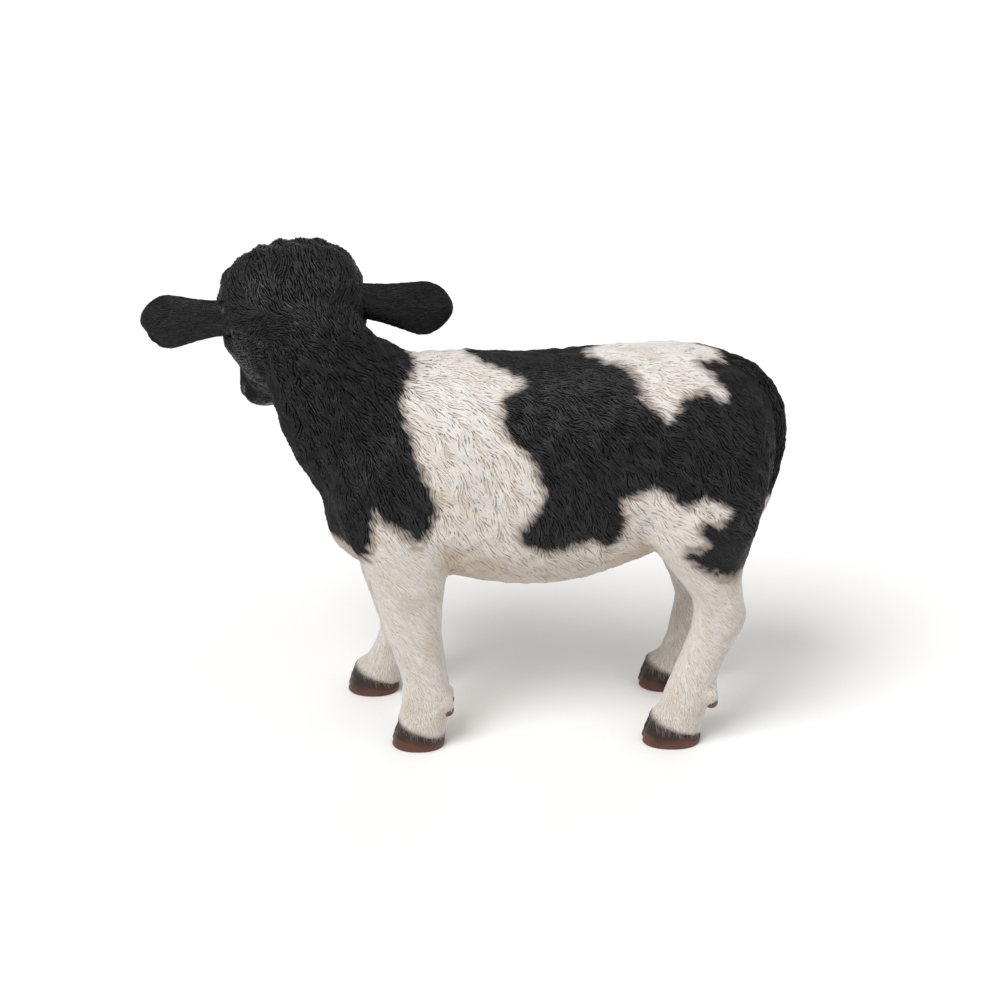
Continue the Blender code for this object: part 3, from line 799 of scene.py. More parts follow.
# ---------------------------------------------------------------- lie of the coat, markings

def turned_about(vectors, axes, degrees):
    angle = np.radians(degrees)[:, None]
    return vectors * np.cos(angle) + np.cross(axes, vectors) * np.sin(angle)


def on_surface(vectors, normals):
    return unit(vectors - (vectors * normals).sum(1, keepdims=True) * normals)


def heading_back(fall):
    """Directions towards the tail that fall by this many degrees."""
    fall = np.radians(fall)
    return np.stack([np.cos(fall), np.zeros(len(fall)), -np.sin(fall)], 1)


def lie_of_coat(points, normals, kinds, edges):
    """Which way the fur lies at each point of the skin."""
    at = to_head(points)
    x, y, z = points.T
    axis = HEAD[:3, :3]
    head = unit(points - from_head(WHORL)) + 0.8 * ramp(-at[:, 2], 6, 26)[:, None] * axis[:, 0]
    drop = 1 - (1 - FLANK_FALL) * ramp(x, 60, 105) * ramp(-z, -185, -155)
    trunk = heading_back(read_off(z, TRUNK_FALL) * drop)
    neck = heading_back(read_off(z, NECK_FALL))
    leg = np.stack([1.05 * ramp(z, 26, 66) + 0.12, np.zeros(len(x)), -np.ones(len(x))], 1)
    for foot in FEET:
        hoof = centre_of("hoof_" + foot)
        near = np.hypot(x - hoof[0], y - hoof[1]) < 30
        fan = unit(points - np.array([hoof[0] + 3.0, hoof[1], 52.0]))
        share = (near * ramp(-z, -36, -20))[:, None]
        leg = leg * (1 - share) + fan * share
    tail = np.stack([0.15 + ramp(z, 215, 240), 0 * x, -np.ones(len(x))], 1)
    ear = np.zeros_like(points)
    for side in SIDES.values():
        root = from_head((EAR_ROOT[0], side * (EAR_ROOT[1] - 12), EAR_ROOT[2]))
        ear = np.where((at[:, 1] * side > 0)[:, None], unit(points - root), ear)
    horn = np.tile((0.1, 0.0, -1.0), (len(x), 1))
    chosen = {"head": head, "neck": neck, "trunk": trunk, "leg": leg, "tail": tail, "ear": ear, "horn": horn}
    lie = sum(chosen[kind] * (kinds == kind)[:, None] for kind in chosen)
    for _ in range(5):
        lie = on_surface(averaged(lie, edges, 10), normals)
    swirl = averaged(np.array([SWIRL[kind] for kind in kinds], float), edges, 10).ravel()
    wave = 0.65 * waves(points, 17.0, 3) + 0.45 * waves(points, 7.5, 4)
    return on_surface(turned_about(lie, normals, swirl * wave), normals)


def girth_places(points):
    """Place along the statue, and degrees round the girth from the back, positive down the left."""
    x, y, z = points.T
    return np.stack([x, np.degrees(np.arctan2(MIDDLE_Y - y, z - GIRTH_HEIGHT))], 1)


def blackness(points, kinds):
    """Millimetres inside the black markings, negative on white."""
    x, y, z = points.T
    places = girth_places(points)
    shoulder = depth_inside(places, curve_through(SHOULDER))
    hind = np.minimum(depth_inside(places, curve_through(HINDQUARTERS)),
                      -depth_inside(places, curve_through(RUMP)))
    breast = np.minimum(BREAST[0] - x, z - BREAST[1])
    buttock = np.minimum(x - BUTTOCK[0], z - BUTTOCK[1])
    black = np.maximum(np.maximum(shoulder, hind), np.maximum(breast, buttock))
    legs_white = 128 + 6 * waves(points, 30, 8)
    black = np.where((kinds == "leg") & (x < 0), np.minimum(black, z - legs_white + 4), black)
    at = to_head(points)
    blaze = read_off(-at[:, 0], BLAZE) - np.abs(at[:, 1] + 1.5 * waves(points, 26, 6))
    blaze = np.where(at[:, 2] > -4, blaze, np.minimum(blaze, -30))
    black = np.where(kinds == "head", -blaze, black)
    black = np.where(kinds == "ear", 20.0, black)
    black = np.where((kinds == "tail") & (z < 150), -20.0, black)
    return black + 1.2 * waves(points, 5.0, 9)


def mixed(first, second, share):
    return first + (second - first) * np.asarray(share)[..., None]


def coat_colours(points, kinds):
    """Colours of ridge and groove at each point: markings, sprayed rims, random tan blotches on the white,
    and painted shade: darker grooves, and tan low on the sides, under the belly, between the legs and in the
    creases.
    """
    black = blackness(points, kinds)
    share = ramp(black, -FADE, FADE)
    x, y, z = points.T
    # Painted shade: tan under the belly (under), between the legs (between), low on the sides (side) and in
    # the creases; the blotches are tan at random
    under = ramp(-z, -150, -105) * (kinds == "trunk")
    between = ramp(14 - np.abs(y - MIDDLE_Y), -12, 6) * (z < 140)
    blotch = ramp(waves(points, 34, 12) + 0.6 * waves(points, 12, 13), 0.1, 1.6)
    side = 0.16 * ramp(-z, -222, -190)
    crease_shade = 0
    for along, off, height, size in SHADED_CREASES:
        away = (x - along) ** 2 + (np.abs(y - MIDDLE_Y) - off) ** 2 + (z - height) ** 2
        crease_shade = crease_shade + np.exp(-away / size ** 2)
    tan_and_shade = np.clip(0.05 + side + 0.60 * under + 0.35 * between + 0.36 * blotch + 0.9 * crease_shade, 0, 1)
    ridge = mixed(COLOURS["white"], COLOURS["tan"], tan_and_shade)
    rim = np.exp(-((black + 1.4) / 1.9) ** 2)
    ridge = mixed(ridge, COLOURS["rim"], 0.62 * rim)
    # The grooves are darker than the ridges: tan paint in them, and painted shade
    groove = mixed(COLOURS["white_groove"], COLOURS["tan"], 0.3 * tan_and_shade)
    groove = mixed(groove, COLOURS["rim"], 0.7 * rim)
    ridge = mixed(ridge, COLOURS["black"], share)
    groove = mixed(groove, COLOURS["black_groove"], share)
    stain = (kinds == "horn") * 1.0
    for foot in FEET:
        middle = centre_of("hoof_" + foot)
        front, heel = hoof_heights(foot)
        coronet = (front + heel) / 2 - (x - middle[0]) * (front - heel) / 32
        close = np.hypot(x - middle[0], y - middle[1]) < 24
        stain = np.maximum(stain, close * ramp(coronet - z, -1.8, 2.2))
    ridge = mixed(ridge, COLOURS["hoof_top"], 0.9 * stain)
    groove = mixed(groove, COLOURS["hoof_top"], 0.9 * stain)
    return ridge, groove


def bareness(points):
    """0 where fur grows, 1 on the nose pad and the lips. What lies off the muzzle's axis is all furred,
    since the chest is below the muzzle in the head's frame too."""
    at = to_head(points)
    x, y, z = at.T
    out = np.abs(y)
    pad = ramp(-x, 80, 84) * ramp(z, -24, -20)
    pad = np.maximum(pad, ramp(-x, 74, 80) * (1 - ramp(out, 17, 24)) * ramp(13 - z, 0, 3))
    lips = ramp(-x, 60, 66) * (1 - ramp(np.abs(z - mouth_height(x)), 2.0, 3.6))
    return np.maximum(pad, lips) * (1 - ramp(np.hypot(y, z), 44, 48))


def eye_places(points):
    """How far each point lies off the nearer eye's opening, 1 at its edge, and a large number far away."""
    places = np.full(len(points), 99.0)
    for side in SIDES.values():
        centre, axes = eye_frame(side)
        local = (points - centre) @ axes.T
        close = np.linalg.norm(local, axis=1) < 14
        places = np.where(close, beyond_opening(local), places)
    return places


def skin_colours(points, kinds, normals):
    """The grooves of the coat, darker as painted shade, and the paint of nose, lips, lids and the ears'
    insides.
    """
    _, groove = coat_colours(points, kinds)
    bare = bareness(points)
    at = to_head(points)
    out = np.abs(at[:, 1])
    nose = mixed(COLOURS["nose"], COLOURS["nose_dark"], ramp(waves(points, 9, 21), 0.5, 1.5) * 0.45)
    curl = nostril_places(out, at[:, 2])
    nose = mixed(nose, COLOURS["nose_dark"], ramp(-curl, -1.9, -1.1) * (at[:, 0] < -74))
    mouth = np.exp(-((at[:, 2] - mouth_height(at[:, 0])) / 1.0) ** 2) * (at[:, 0] < -58)
    nose = mixed(nose, COLOURS["mouth"], np.clip(mouth, 0, 1))
    colours = mixed(groove, nose, bare)
    colours = mixed(colours, COLOURS["lid"], 1 - ramp(eye_places(points), 1.10, 1.35))
    ear_front = (kinds == "ear") * ramp(normals @ -HEAD[:3, 0], 0.2, 0.6)
    return mixed(colours, COLOURS["ear_inside"], 0.8 * ear_front)


# ---------------------------------------------------------------- strokes

NEAR_CELLS = [(i, j, k) for i in (-1, 0, 1) for j in (-1, 0, 1) for k in (-1, 0, 1)]


def roots_on(points, corners, spacing, fur):
    """Places spread over the skin where fur grows, none nearer to another than the spacing there."""
    a, b, c = (points[corners[:, k]] for k in range(3))
    area = np.linalg.norm(np.cross(b - a, c - a), axis=1) / 2
    share = area / spacing ** 2 * fur
    count = int(share.sum() * 4.5)
    faces = rng.choice(len(area), count, p=share / share.sum())
    u, v = rng.random((2, count))
    over = u + v > 1
    u, v = np.where(over, 1 - u, u), np.where(over, 1 - v, v)
    places = a[faces] + u[:, None] * (b - a)[faces] + v[:, None] * (c - a)[faces]
    cell = spacing.max()
    taken, kept = {}, []
    keys = np.floor(places / cell).astype(int)
    rows = zip(keys.tolist(), places.tolist(), (spacing[faces] ** 2).tolist())
    for index, ((i, j, k), (x, y, z), least) in enumerate(rows):
        for di, dj, dk in NEAR_CELLS:
            others = taken.get((i + di, j + dj, k + dk), ())
            if any((px - x) ** 2 + (py - y) ** 2 + (pz - z) ** 2 < least for px, py, pz in others):
                break
        else:
            taken.setdefault((i, j, k), []).append((x, y, z))
            kept.append(index)
    return places[kept], faces[kept]


def walk(tree, lie, roots, steps, turns, stations):
    """Follows the lie of the coat over the surface from each root. Returns places and normals.

    turns: the angle off the lie of the coat at the root and how much it grows with each step.
    """
    rows = []
    for start, step, (turn, bend) in zip(roots.tolist(), steps.tolist(), turns.tolist()):
        place = Vector(start)
        row = []
        for _ in range(stations):
            place, normal, face, _ = tree.find_nearest(place)
            row.append((*place, *normal))
            along = Vector(lie[face])
            place = place + (along * math.cos(turn) + normal.cross(along) * math.sin(turn)) * step
            turn += bend
        rows.append(row)
    return np.array(rows)


def locks_of(roots, along, spacing):
    """Groups roots into locks, longer along the fur than across it. Returns each root's lock."""
    seeds, grid = [], {}
    for index in rng.permutation(len(roots)).tolist():
        place = roots[index]
        key = tuple(np.floor(place / LOCK_SPACING).astype(int).tolist())
        near = (grid.get((key[0] + i, key[1] + j, key[2] + k)) for i, j, k in NEAR_CELLS)
        if all(other is None or ((other - place) ** 2).sum() > (LOCK_SPACING * spacing[index]) ** 2
               for other in near):
            grid[key] = place
            seeds.append(index)
    tree = KDTree(len(seeds))
    for number, index in enumerate(seeds):
        tree.insert(roots[index], number)
    tree.balance()
    locks = np.empty(len(roots), int)
    seeds = np.array(seeds)
    for index, place in enumerate(roots.tolist()):
        numbers = [found[1] for found in tree.find_n(place, 5)]
        offsets = roots[index] - roots[seeds[numbers]]
        ahead = offsets @ along[index]
        far = (offsets ** 2).sum(1) - 0.75 * ahead ** 2
        locks[index] = numbers[int(np.argmin(far))]
    return locks, seeds


def stroke_faces(rings):
    """Triangles of one closed stroke: a root, rings of left foot, ridge and right foot, and a tip.

    The last third of them is its underside.
    """
    faces = []
    tip = 1 + 3 * rings
    for k in range(3):
        after = (k + 1) % 3
        faces.append((0, 1 + k, 1 + after))
        for ring in range(rings - 1):
            low, high = 1 + 3 * ring, 4 + 3 * ring
            faces += [(low + k, high + after, low + after), (low + k, high + k, high + after)]
        faces.append((tip - 3 + k, tip, tip - 3 + after))
    return np.array(faces)


def strokes(places, normals, size, colours, patches):
    """Points, triangles, colours, OFBake places and smooth faces of many closed strokes.

    places, normals: for each stroke its stations; size: width, height and rise of each;
    colours: ridge and groove at each station, the groove being painted shade; patches: the place of each
    root on the skin's unwrap.
    """
    count, stations = places.shape[:2]
    rings = stations - 2
    width, height, rise = (size[:, k][:, None] for k in range(3))
    along = unit(np.gradient(places, axis=1))
    across = unit(np.cross(along, normals))
    points = np.empty((count, 2 + 3 * rings, 3))
    shades = np.empty((count, 2 + 3 * rings, 3))
    ridge, groove = colours
    points[:, 0] = places[:, 0] - SUNK * normals[:, 0]
    shades[:, 0] = groove[:, 0]
    lift = STROKE_LIFT * rise * np.linspace(0, 1, stations)
    for ring in range(rings):
        k = ring + 1
        half = width * WIDTHS[rings][ring] / 2
        base = places[:, k] + normals[:, k] * (lift[:, k, None] - SUNK)
        top = places[:, k] + normals[:, k] * (height * HEIGHTS[rings][ring] + lift[:, k, None])
        first = 1 + 3 * ring
        points[:, first] = base + across[:, k] * half
        points[:, first + 1] = top
        points[:, first + 2] = base - across[:, k] * half
        # root and feet take the groove colour, painted shade; the ridge keeps its own
        shades[:, first] = shades[:, first + 2] = groove[:, k]
        shades[:, first + 1] = ridge[:, k]
    points[:, -1] = places[:, -1] + normals[:, -1] * rise
    # the tip is a little darker than the ridge, painted shade
    shades[:, -1] = mixed(groove[:, -1], ridge[:, -1], np.full(count, 0.75))
    own_faces = stroke_faces(rings)
    faces = own_faces[None] + (np.arange(count) * points.shape[1])[:, None, None]
    rounded = np.tile(np.arange(len(own_faces)) < len(own_faces) * 2 // 3, count)
    patch = np.zeros((points.shape[1], 2))
    patch[1:-1, 0] = np.repeat(np.linspace(0.2, 0.8, rings), 3) - 0.5
    patch[0, 0], patch[-1, 0] = -0.5, 0.5
    patch[1:-1, 1] = np.tile((-0.5, 0.0, 0.5), rings)
    spots = np.clip(patches[:, None] + PATCH * patch, 0, 1).reshape(-1, 2)
    return points.reshape(-1, 3), faces.reshape(-1, 3), shades.reshape(-1, 3), spots, rounded


def stroke_colours(places, kinds, tone):
    """Ridge and groove at each station, drawn towards those of the stroke's middle, so that the edges of
    the markings are of whole strokes. Dark strokes differ in tone, pale ones hardly."""
    count, stations = places.shape[:2]
    made = []
    for colours in coat_colours(places.reshape(-1, 3), np.repeat(kinds, stations)):
        colours = colours.reshape(count, stations, 3)
        colours = mixed(colours, colours[:, stations // 2, None], np.full((count, stations), MIDDLE_SHARE))
        spread = 1 - 0.93 * ramp(colours.mean(2), 0.02, 0.3)
        made.append(colours * (tone[:, None] ** spread)[..., None])
    return made


def strokes_mesh(name, forms):
    """One piece of the coat. The undersides are flat, so that the sides shade as the slopes they are."""
    points, faces = joined([form[:2] for form in forms])
    mesh = mesh_from(name, points, faces, np.concatenate([form[4] for form in forms]))
    paint(mesh, np.vstack([form[2] for form in forms]))
    spots = np.vstack([form[3] for form in forms])
    layer = mesh.uv_layers.new(name="OFBake")
    layer.data.foreach_set("uv", spots[faces.ravel()].astype(np.float32).ravel())
    return mesh


def corner_weights(places, triangles):
    """How near each place is to each corner of its own triangle, as shares of one."""
    a, b, c = triangles[:, 0], triangles[:, 1], triangles[:, 2]
    whole = np.cross(b - a, c - a)
    area = np.maximum((whole * whole).sum(1), 1e-12)
    first = (np.cross(c - b, places - b) * whole).sum(1) / area
    second = (np.cross(a - c, places - c) * whole).sum(1) / area
    return np.stack([first, second, 1 - first - second], 1)


def coat_name(kind, x, y):
    """The piece of coat that a stroke belongs to."""
    side = "left" if y < MIDDLE_Y else "right"
    if kind == "trunk":
        return f"coat_trunk_{'fore' if x < 42 else 'hind'}_{side}"
    if kind == "leg":
        return f"coat_leg_{'front' if x < 42 else 'hind'}_{side}"
    return f"coat_{kind}"


def paint(mesh, colours):
    """Gives the mesh's points their colours."""
    layer = mesh.color_attributes.new("paint", "FLOAT_COLOR", "POINT")
    filled = np.ones((len(colours), 4), np.float32)
    filled[:, :3] = colours
    layer.data.foreach_set("color", filled.ravel())


def sizes_of_strokes(points, kinds, edges):
    """Length, width, height, spacing and rise of the strokes at each point."""
    sizes = np.array([STROKES[kind] for kind in kinds])
    at = to_head(points)
    x, y, z = at.T
    near_head = np.isin(kinds, ("head", "neck"))
    poll = near_head * np.maximum(ramp(x, -42, -18) * ramp(z, -2, 24), ramp(x, 6, 26) * ramp(z, -30, -6))
    sizes = mixed(sizes, np.array(POLL), poll)
    face = (kinds == "head") * ramp(-x, 20, 70)
    sizes = sizes * mixed(np.ones(5), np.array(FACE_SHARE), face)
    foot = (kinds == "leg") * ramp(-points[:, 2], -48, -22)
    sizes = mixed(sizes, np.array(FOOT), foot)
    back = (kinds == "trunk") * ramp(-np.abs(girth_places(points)[:, 1]), -46, -20)
    sizes = sizes * mixed(np.ones(5), np.array(ALONG_BACK), back)
    switch = (kinds == "tail") * ramp(-points[:, 2], -165, -145)
    sizes = mixed(sizes, np.array(SWITCH), switch)
    return averaged(sizes, edges, 10)


# ---------------------------------------------------------------- eyes, lids, hooves, dewclaws

def lofted(rings, endless=False):
    """Points and triangles of rings of points joined in a row. Fans close both ends, or, if it is
    endless, the last ring is joined to the first."""
    count = len(rings[0])
    points = np.vstack(rings)
    k = np.arange(count)
    after = (k + 1) % count
    faces = []
    for ring in range(len(rings) - (not endless)):
        low, high = ring * count, (ring + 1) % len(rings) * count
        faces += [low + k, low + after, high + after, low + k, high + after, high + k]
    if not endless:
        first, last, end = len(points) + 0 * k, len(points) + 1 + 0 * k, len(points) - count
        points = np.vstack([points, rings[0].mean(0), rings[-1].mean(0)])
        faces += [first, after, k, last, end + k, end + after]
    faces = np.array(faces).reshape(-1, 6, count)
    return points, faces.transpose(0, 2, 1).reshape(-1, 3)


def facing_out(points, corners):
    """The triangles of a closed form, turned to face outwards."""
    a, b, c = (points[corners[:, k]] for k in range(3))
    return corners if (a * np.cross(b, c)).sum() > 0 else corners[:, ::-1]


def eye_forms(side):
    """Points, triangles and colours of the glossy eyeball, with a bulging cornea."""
    centre, axes = eye_frame(side)
    points, corners = ball((0, 0, 0), (EYE_RADIUS,) * 3, 96, 64)
    off = np.degrees(np.arccos(np.clip(points[:, 2] / EYE_RADIUS, -1, 1)))
    points *= (1 + 0.035 * np.exp(-(off / 30) ** 2) - 0.012)[:, None]
    flat = np.hypot(points[:, 0] * 0.82, points[:, 1] * 1.25) / EYE_RADIUS
    pupil = 1 - ramp(flat, 0.42, 0.52)
    iris = 1 - ramp(off, 50, 56)
    colours = mixed(COLOURS["eye_white"], COLOURS["iris"], iris)
    colours = mixed(colours, COLOURS["pupil"], np.maximum(pupil, np.exp(-((off - 51) / 5) ** 2)))
    points = points @ axes
    return centre + points, facing_out(points, corners), colours


def lid_form(side, tree):
    """The lids as one closed band: from the eyeball up over a rounded rim, and flush onto the skin."""
    centre, axes = eye_frame(side)
    turn = 2 * np.pi * np.arange(LID_POINTS) / LID_POINTS
    edge = opening_edge(turn)
    flat = np.stack([edge * np.cos(turn), edge * np.sin(turn)], 1)
    skin = {}
    for scale in (LID_EDGE, LID_RINGS[-1][0]):
        heights = []
        for u, v in flat * scale:
            start = centre + np.array([u, v, 30.0]) @ axes
            hit = tree.ray_cast(Vector(start), Vector(-axes[2]), 60.0)[0]
            heights.append((np.array(hit) - centre) @ axes[2])
        heights = np.array(heights)
        for _ in range(4):
            heights = (np.roll(heights, 1) + 2 * heights + np.roll(heights, -1)) / 4
        skin[scale] = heights
    above = ramp(np.sin(turn), -0.1, 0.6)
    rings = []
    for scale, radius, share in LID_RINGS:
        off = scale * edge
        inner = np.sqrt(np.maximum(radius ** 2 - off ** 2, 0.1))
        fold = 0.55 * above * math.exp(-((scale - 1.33) / 0.07) ** 2)
        height = inner * (1 - share) + skin[LID_EDGE] * share - fold
        if scale == LID_RINGS[-1][0]:
            height = skin[scale] - 1.5
        rings.append(centre + np.column_stack([flat * scale, height]) @ axes)
    points, corners = lofted(rings, endless=True)
    return points, facing_out(points - centre, corners)


def hoof_form(foot):
    """A cloven hoof as the frame has it, with a rolled sole edge, growth rings and a sharp cleft."""
    middle = centre_of("hoof_" + foot)
    shares = np.concatenate([[0, 0.0, 0.03, 0.07], np.linspace(0.1, 1.0, 26), [0.97]])
    spreads = np.interp(shares, (0, 0.03, 0.07, 0.1, 0.45, 0.8, 1), (0.955, 0.985, 0.997, 1, 1, 0.95, 0.89))
    spreads[0] = 0.80
    spreads[-1] = 0.70
    rings = []
    for share, spread in zip(shares, spreads):
        growth = 1 - 0.010 * (0.5 + 0.5 * math.sin(26 * share + 1.0)) * (0.1 < share < 0.93)
        ring = hoof_outline(foot, spread * growth, share)
        x, y = ring[:, 0] - middle[0], ring[:, 1] - middle[1]
        cleft = np.exp(-np.abs(y / 1.5) ** 1.5)
        ring[:, 0] -= cleft * x * np.where(x < 0, 0.30, 0.15)
        rings.append(ring)
    points, corners = lofted(rings)
    share = points[:, 2] / hoof_heights(foot)[0]
    stain = ramp(share + 0.06 * waves(points, 14, 31), -0.02, 0.50)
    colours = mixed(COLOURS["hoof_sole"], COLOURS["hoof_top"], stain)
    groove = np.exp(-np.abs((points[:, 1] - middle[1]) / 1.4) ** 2) * (points[:, 0] < middle[0])
    colours = mixed(colours, COLOURS["hoof_top"] * 0.5, 0.8 * groove)
    return points, facing_out(points - points.mean(0), corners), colours


def dewclaw_form(node):
    """A short blunt horn with growth rings: pale where it leaves the fur, dark at its lower tip."""
    low, high = (np.array(corner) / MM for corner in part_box(node))
    points, corners = ball((0, 0, 0), (4.5, 3.7, 5.3), 40, 30)
    rings = 1 + 0.02 * np.sin(points[:, 2] * 3.2)
    points[:, :2] *= rings[:, None]
    share = ramp(-points[:, 2], -4.5, 0.5)
    colours = mixed(COLOURS["white_groove"], COLOURS["dewclaw"], share)
    lean = math.radians(-25)
    x = points[:, 0] * math.cos(lean) + points[:, 2] * math.sin(lean)
    z = -points[:, 0] * math.sin(lean) + points[:, 2] * math.cos(lean)
    middle = (low + high) / 2 - np.array([0.0, 0.0, 0.5])
    return np.stack([x, points[:, 1], z], 1) + middle, corners, colours


# ---------------------------------------------------------------- materials

def painted_material(name, roughness, bump, bump_scale, coat=0.0, mottle=0.10, specular=0.5):
    """Paint from the mesh's colours, a little uneven, over fine grain."""
    material = bpy.data.materials.new(name)
    material.use_nodes = True
    tree = material.node_tree

    def set_inputs(node, values):
        for socket, value in values.items():
            node.inputs[socket].default_value = value
        return node

    def node(kind, values):
        return set_inputs(tree.nodes.new("ShaderNode" + kind), values)

    shader = set_inputs(tree.nodes["Principled BSDF"], {
        "Coat Weight": coat, "Coat Roughness": 0.06, "Specular IOR Level": specular})
    colour = node("Attribute", {})
    colour.attribute_name = "paint"
    place = node("TexCoord", {})
    noise = node("TexNoise", {"Scale": 160.0, "Detail": 5.0})
    level = node("MapRange", {"To Min": 1.0 - mottle, "To Max": 1.0 + mottle})
    tint = node("VectorMath", {})
    tint.operation = "SCALE"
    grain = node("TexNoise", {"Scale": bump_scale, "Detail": 3.0})
    uneven = node("MapRange", {"To Min": roughness * 0.85, "To Max": roughness * 1.15})
    raised = node("Bump", {"Strength": bump, "Distance": 0.0003})
    for start, output, end, socket in (
            (place, "Object", noise, "Vector"), (place, "Object", grain, "Vector"),
            (noise, "Fac", level, "Value"), (noise, "Fac", uneven, "Value"),
            (colour, "Color", tint, 0), (level, "Result", tint, "Scale"),
            (tint, "Vector", shader, "Base Color"), (uneven, "Result", shader, "Roughness"),
            (grain, "Fac", raised, "Height"), (raised, "Normal", shader, "Normal")):
        tree.links.new(start.outputs[output], end.inputs[socket])
    return material


def buried_in(points, forms):
    """Whether each point lies inside one of the closed forms."""
    inside = np.zeros(len(points), bool)
    for own, corners in forms:
        tree = tree_of(own, corners)
        low, high = own.min(0), own.max(0)
        for index in np.flatnonzero(((points > low) & (points < high)).all(1)):
            place = Vector(points[index])
            near, normal, _, _ = tree.find_nearest(place)
            inside[index] = (place - near).dot(normal) < -0.25
    return inside


def skin_unwrap(mesh):
    """Corner places of each triangle on an unwrap of the surface."""
    obj = linked("unwrapped", mesh)
    bpy.context.view_layer.objects.active = obj
    bpy.ops.object.mode_set(mode="EDIT")
    bpy.ops.mesh.select_all(action="SELECT")
    bpy.ops.uv.smart_project(angle_limit=math.radians(66), island_margin=0.001)
    bpy.ops.object.mode_set(mode="OBJECT")
    spots = rows_of(mesh.uv_layers.active.data, "uv", 2)
    bpy.data.objects.remove(obj)
    return spots.reshape(-1, 3, 2)


# ---------------------------------------------------------------- building the skin

skin = skin_mesh()
node_of = nearest_nodes(points_of(skin))
edges = edges_of(skin)
body = averaged(by_kind(BODY_FAIRING, node_of), edges, 12)
points = points_of(skin)
for _ in range(BODY_ROUNDS):
    for pull in (0.55, -0.56):
        points += body * (averaged(points, edges, 1, pull) - points)
set_points(skin, points)
lumps = by_kind(LUMPS, node_of)
at = to_head(points)
crown = ramp(at[:, 0], -42, -18) * ramp(at[:, 2], 0, 24) * (np.linalg.norm(at, axis=1) < 75)
lumps = averaged(np.maximum(lumps, 0.95 * crown), edges, 12)
points += (lumps.ravel() * waves(points, 13.0, 41))[:, None] * normals_of(skin)
depth = averaged(by_kind(COAT_DEPTH, node_of), edges, 8)
beside = averaged(np.array([kind_of(node) == "tail" for node in FLESH], float)[node_of], edges, 5)
depth += TAIL_GROOVE * np.exp(-((beside - 0.4) / 0.2) ** 2)
set_points(skin, points - (depth + LET_OUT) * normals_of(skin))
skin = with_ears(skin)
refine(skin, [near_mouth, near_eyes, near_nostrils, near_lips])
edges = edges_of(skin)
points = points_of(skin)
at = to_head(points)
soft = ((at[:, 0] < -50) | near_eyes(points))[:, None]
points = np.where(soft, averaged(points, edges, 4), points)
set_points(skin, points)
set_points(skin, with_eyes(sculpted(points, normals_of(skin))))
skin = thinned(skin)
points, corners = points_of(skin), triangles_of(skin)
tree = tree_of(points, corners)
lids = {side: lid_form(sign, tree) for side, sign in SIDES.items()}
hooves = {foot: hoof_form(foot) for foot in FEET}
dewclaws = {node: dewclaw_form(node) for node in frame["nodes"] if node.startswith("dewclaw")}
eyes = {side: eye_forms(sign) for side, sign in SIDES.items()}

# The surface that the fur grows on and lies over
buried = buried_in(points, [form[:2] for form in hooves.values()])
forms = [(points, corners[~buried[corners].all(1)]), *lids.values()]
horny = [form[:2] for form in (*hooves.values(), *dewclaws.values())]
ground, ground_corners = joined(forms + horny)
lid_count = sum(len(form[0]) for form in lids.values())
horn_count = len(ground) - len(points) - lid_count
kinds = np.concatenate([node_of_each(points), ["head"] * lid_count, ["horn"] * horn_count])
ground_mesh = mesh_from("ground", ground, ground_corners)
edges, normals = edges_of(ground_mesh), normals_of(ground_mesh)
lie = lie_of_coat(ground, normals, kinds, edges)
sizes = sizes_of_strokes(ground, kinds, edges)
bare = np.maximum(bareness(ground), kinds == "horn")
off_eye = eye_places(ground)
on_lid = np.zeros(len(ground), bool)
on_lid[len(points):len(points) + lid_count] = True
bare = np.where(on_lid, (off_eye < LID_FUR) | (off_eye > LID_EDGE), np.maximum(bare, off_eye < SKIN_FUR))
bare[:len(points)] = np.maximum(bare[:len(points)], buried)
fur = 1 - bare[ground_corners].mean(1)
unwrap = skin_unwrap(ground_mesh)
roots, faces = roots_on(ground, ground_corners, sizes[ground_corners, 3].mean(1), fur)

# ---------------------------------------------------------------- building the coat

own = sizes[ground_corners[faces]].mean(1)  # length, width, height, spacing and rise of each stroke
jitter = rng.uniform((0.8, 0.8, 0.7, 1.0, 0.6), (1.2, 1.15, 1.35, 1.0, 1.4), (len(roots), 5))
face_lie = unit(lie[ground_corners].mean(1))
face_normals = unit(normals[ground_corners].mean(1))
locks, seeds = locks_of(roots, face_lie[faces], np.clip(own[:, 0] / 9.0, 0.5, 1.1))
shaggy = np.clip(own[:, 2] / 1.1, 0.2, 1.2)  # how much the locks show
lock_turn = rng.normal(0, math.radians(LOCK_TURN), len(seeds))[locks] * np.minimum(shaggy, 1)
lock_bend = rng.normal(0, math.radians(LOCK_BEND), len(seeds))[locks] * np.minimum(shaggy, 1)
lock_lift = rng.random(len(seeds))[locks] ** 1.5 * LOCK_LIFT * own[:, 4]
own = own * jitter
root_kind = kinds[ground_corners[faces, 0]]
# The black is deeply tooled, the white is filled by its thicker paint
relief = PALE_RELIEF + (DARK_RELIEF - PALE_RELIEF) * ramp(blackness(roots, root_kind), -6, 2)
own[:, 2] *= np.where(np.isin(root_kind, ["trunk", "neck"]), relief, 1)
for own_points, _, _ in dewclaws.values():
    own[:, 0] *= np.where(np.linalg.norm(roots - own_points.mean(0), axis=1) < DEWCLAW_NEAR, 0.5, 1)
tone = rng.uniform(0.6, 1.5, len(seeds))[locks] * rng.uniform(0.55, 1.6, len(roots))
turns = np.column_stack([lock_turn + rng.normal(0, 0.06, len(roots)), lock_bend])
offset = roots - roots[seeds[locks]]
across = np.cross(face_normals[faces], face_lie[faces])
closing = -LOCK_CLOSING * np.minimum(shaggy, 1)[:, None] * (offset * across).sum(1)[:, None] * across
long = own[:, 0] > LONG_STROKE
tree = tree_of(ground, ground_corners)
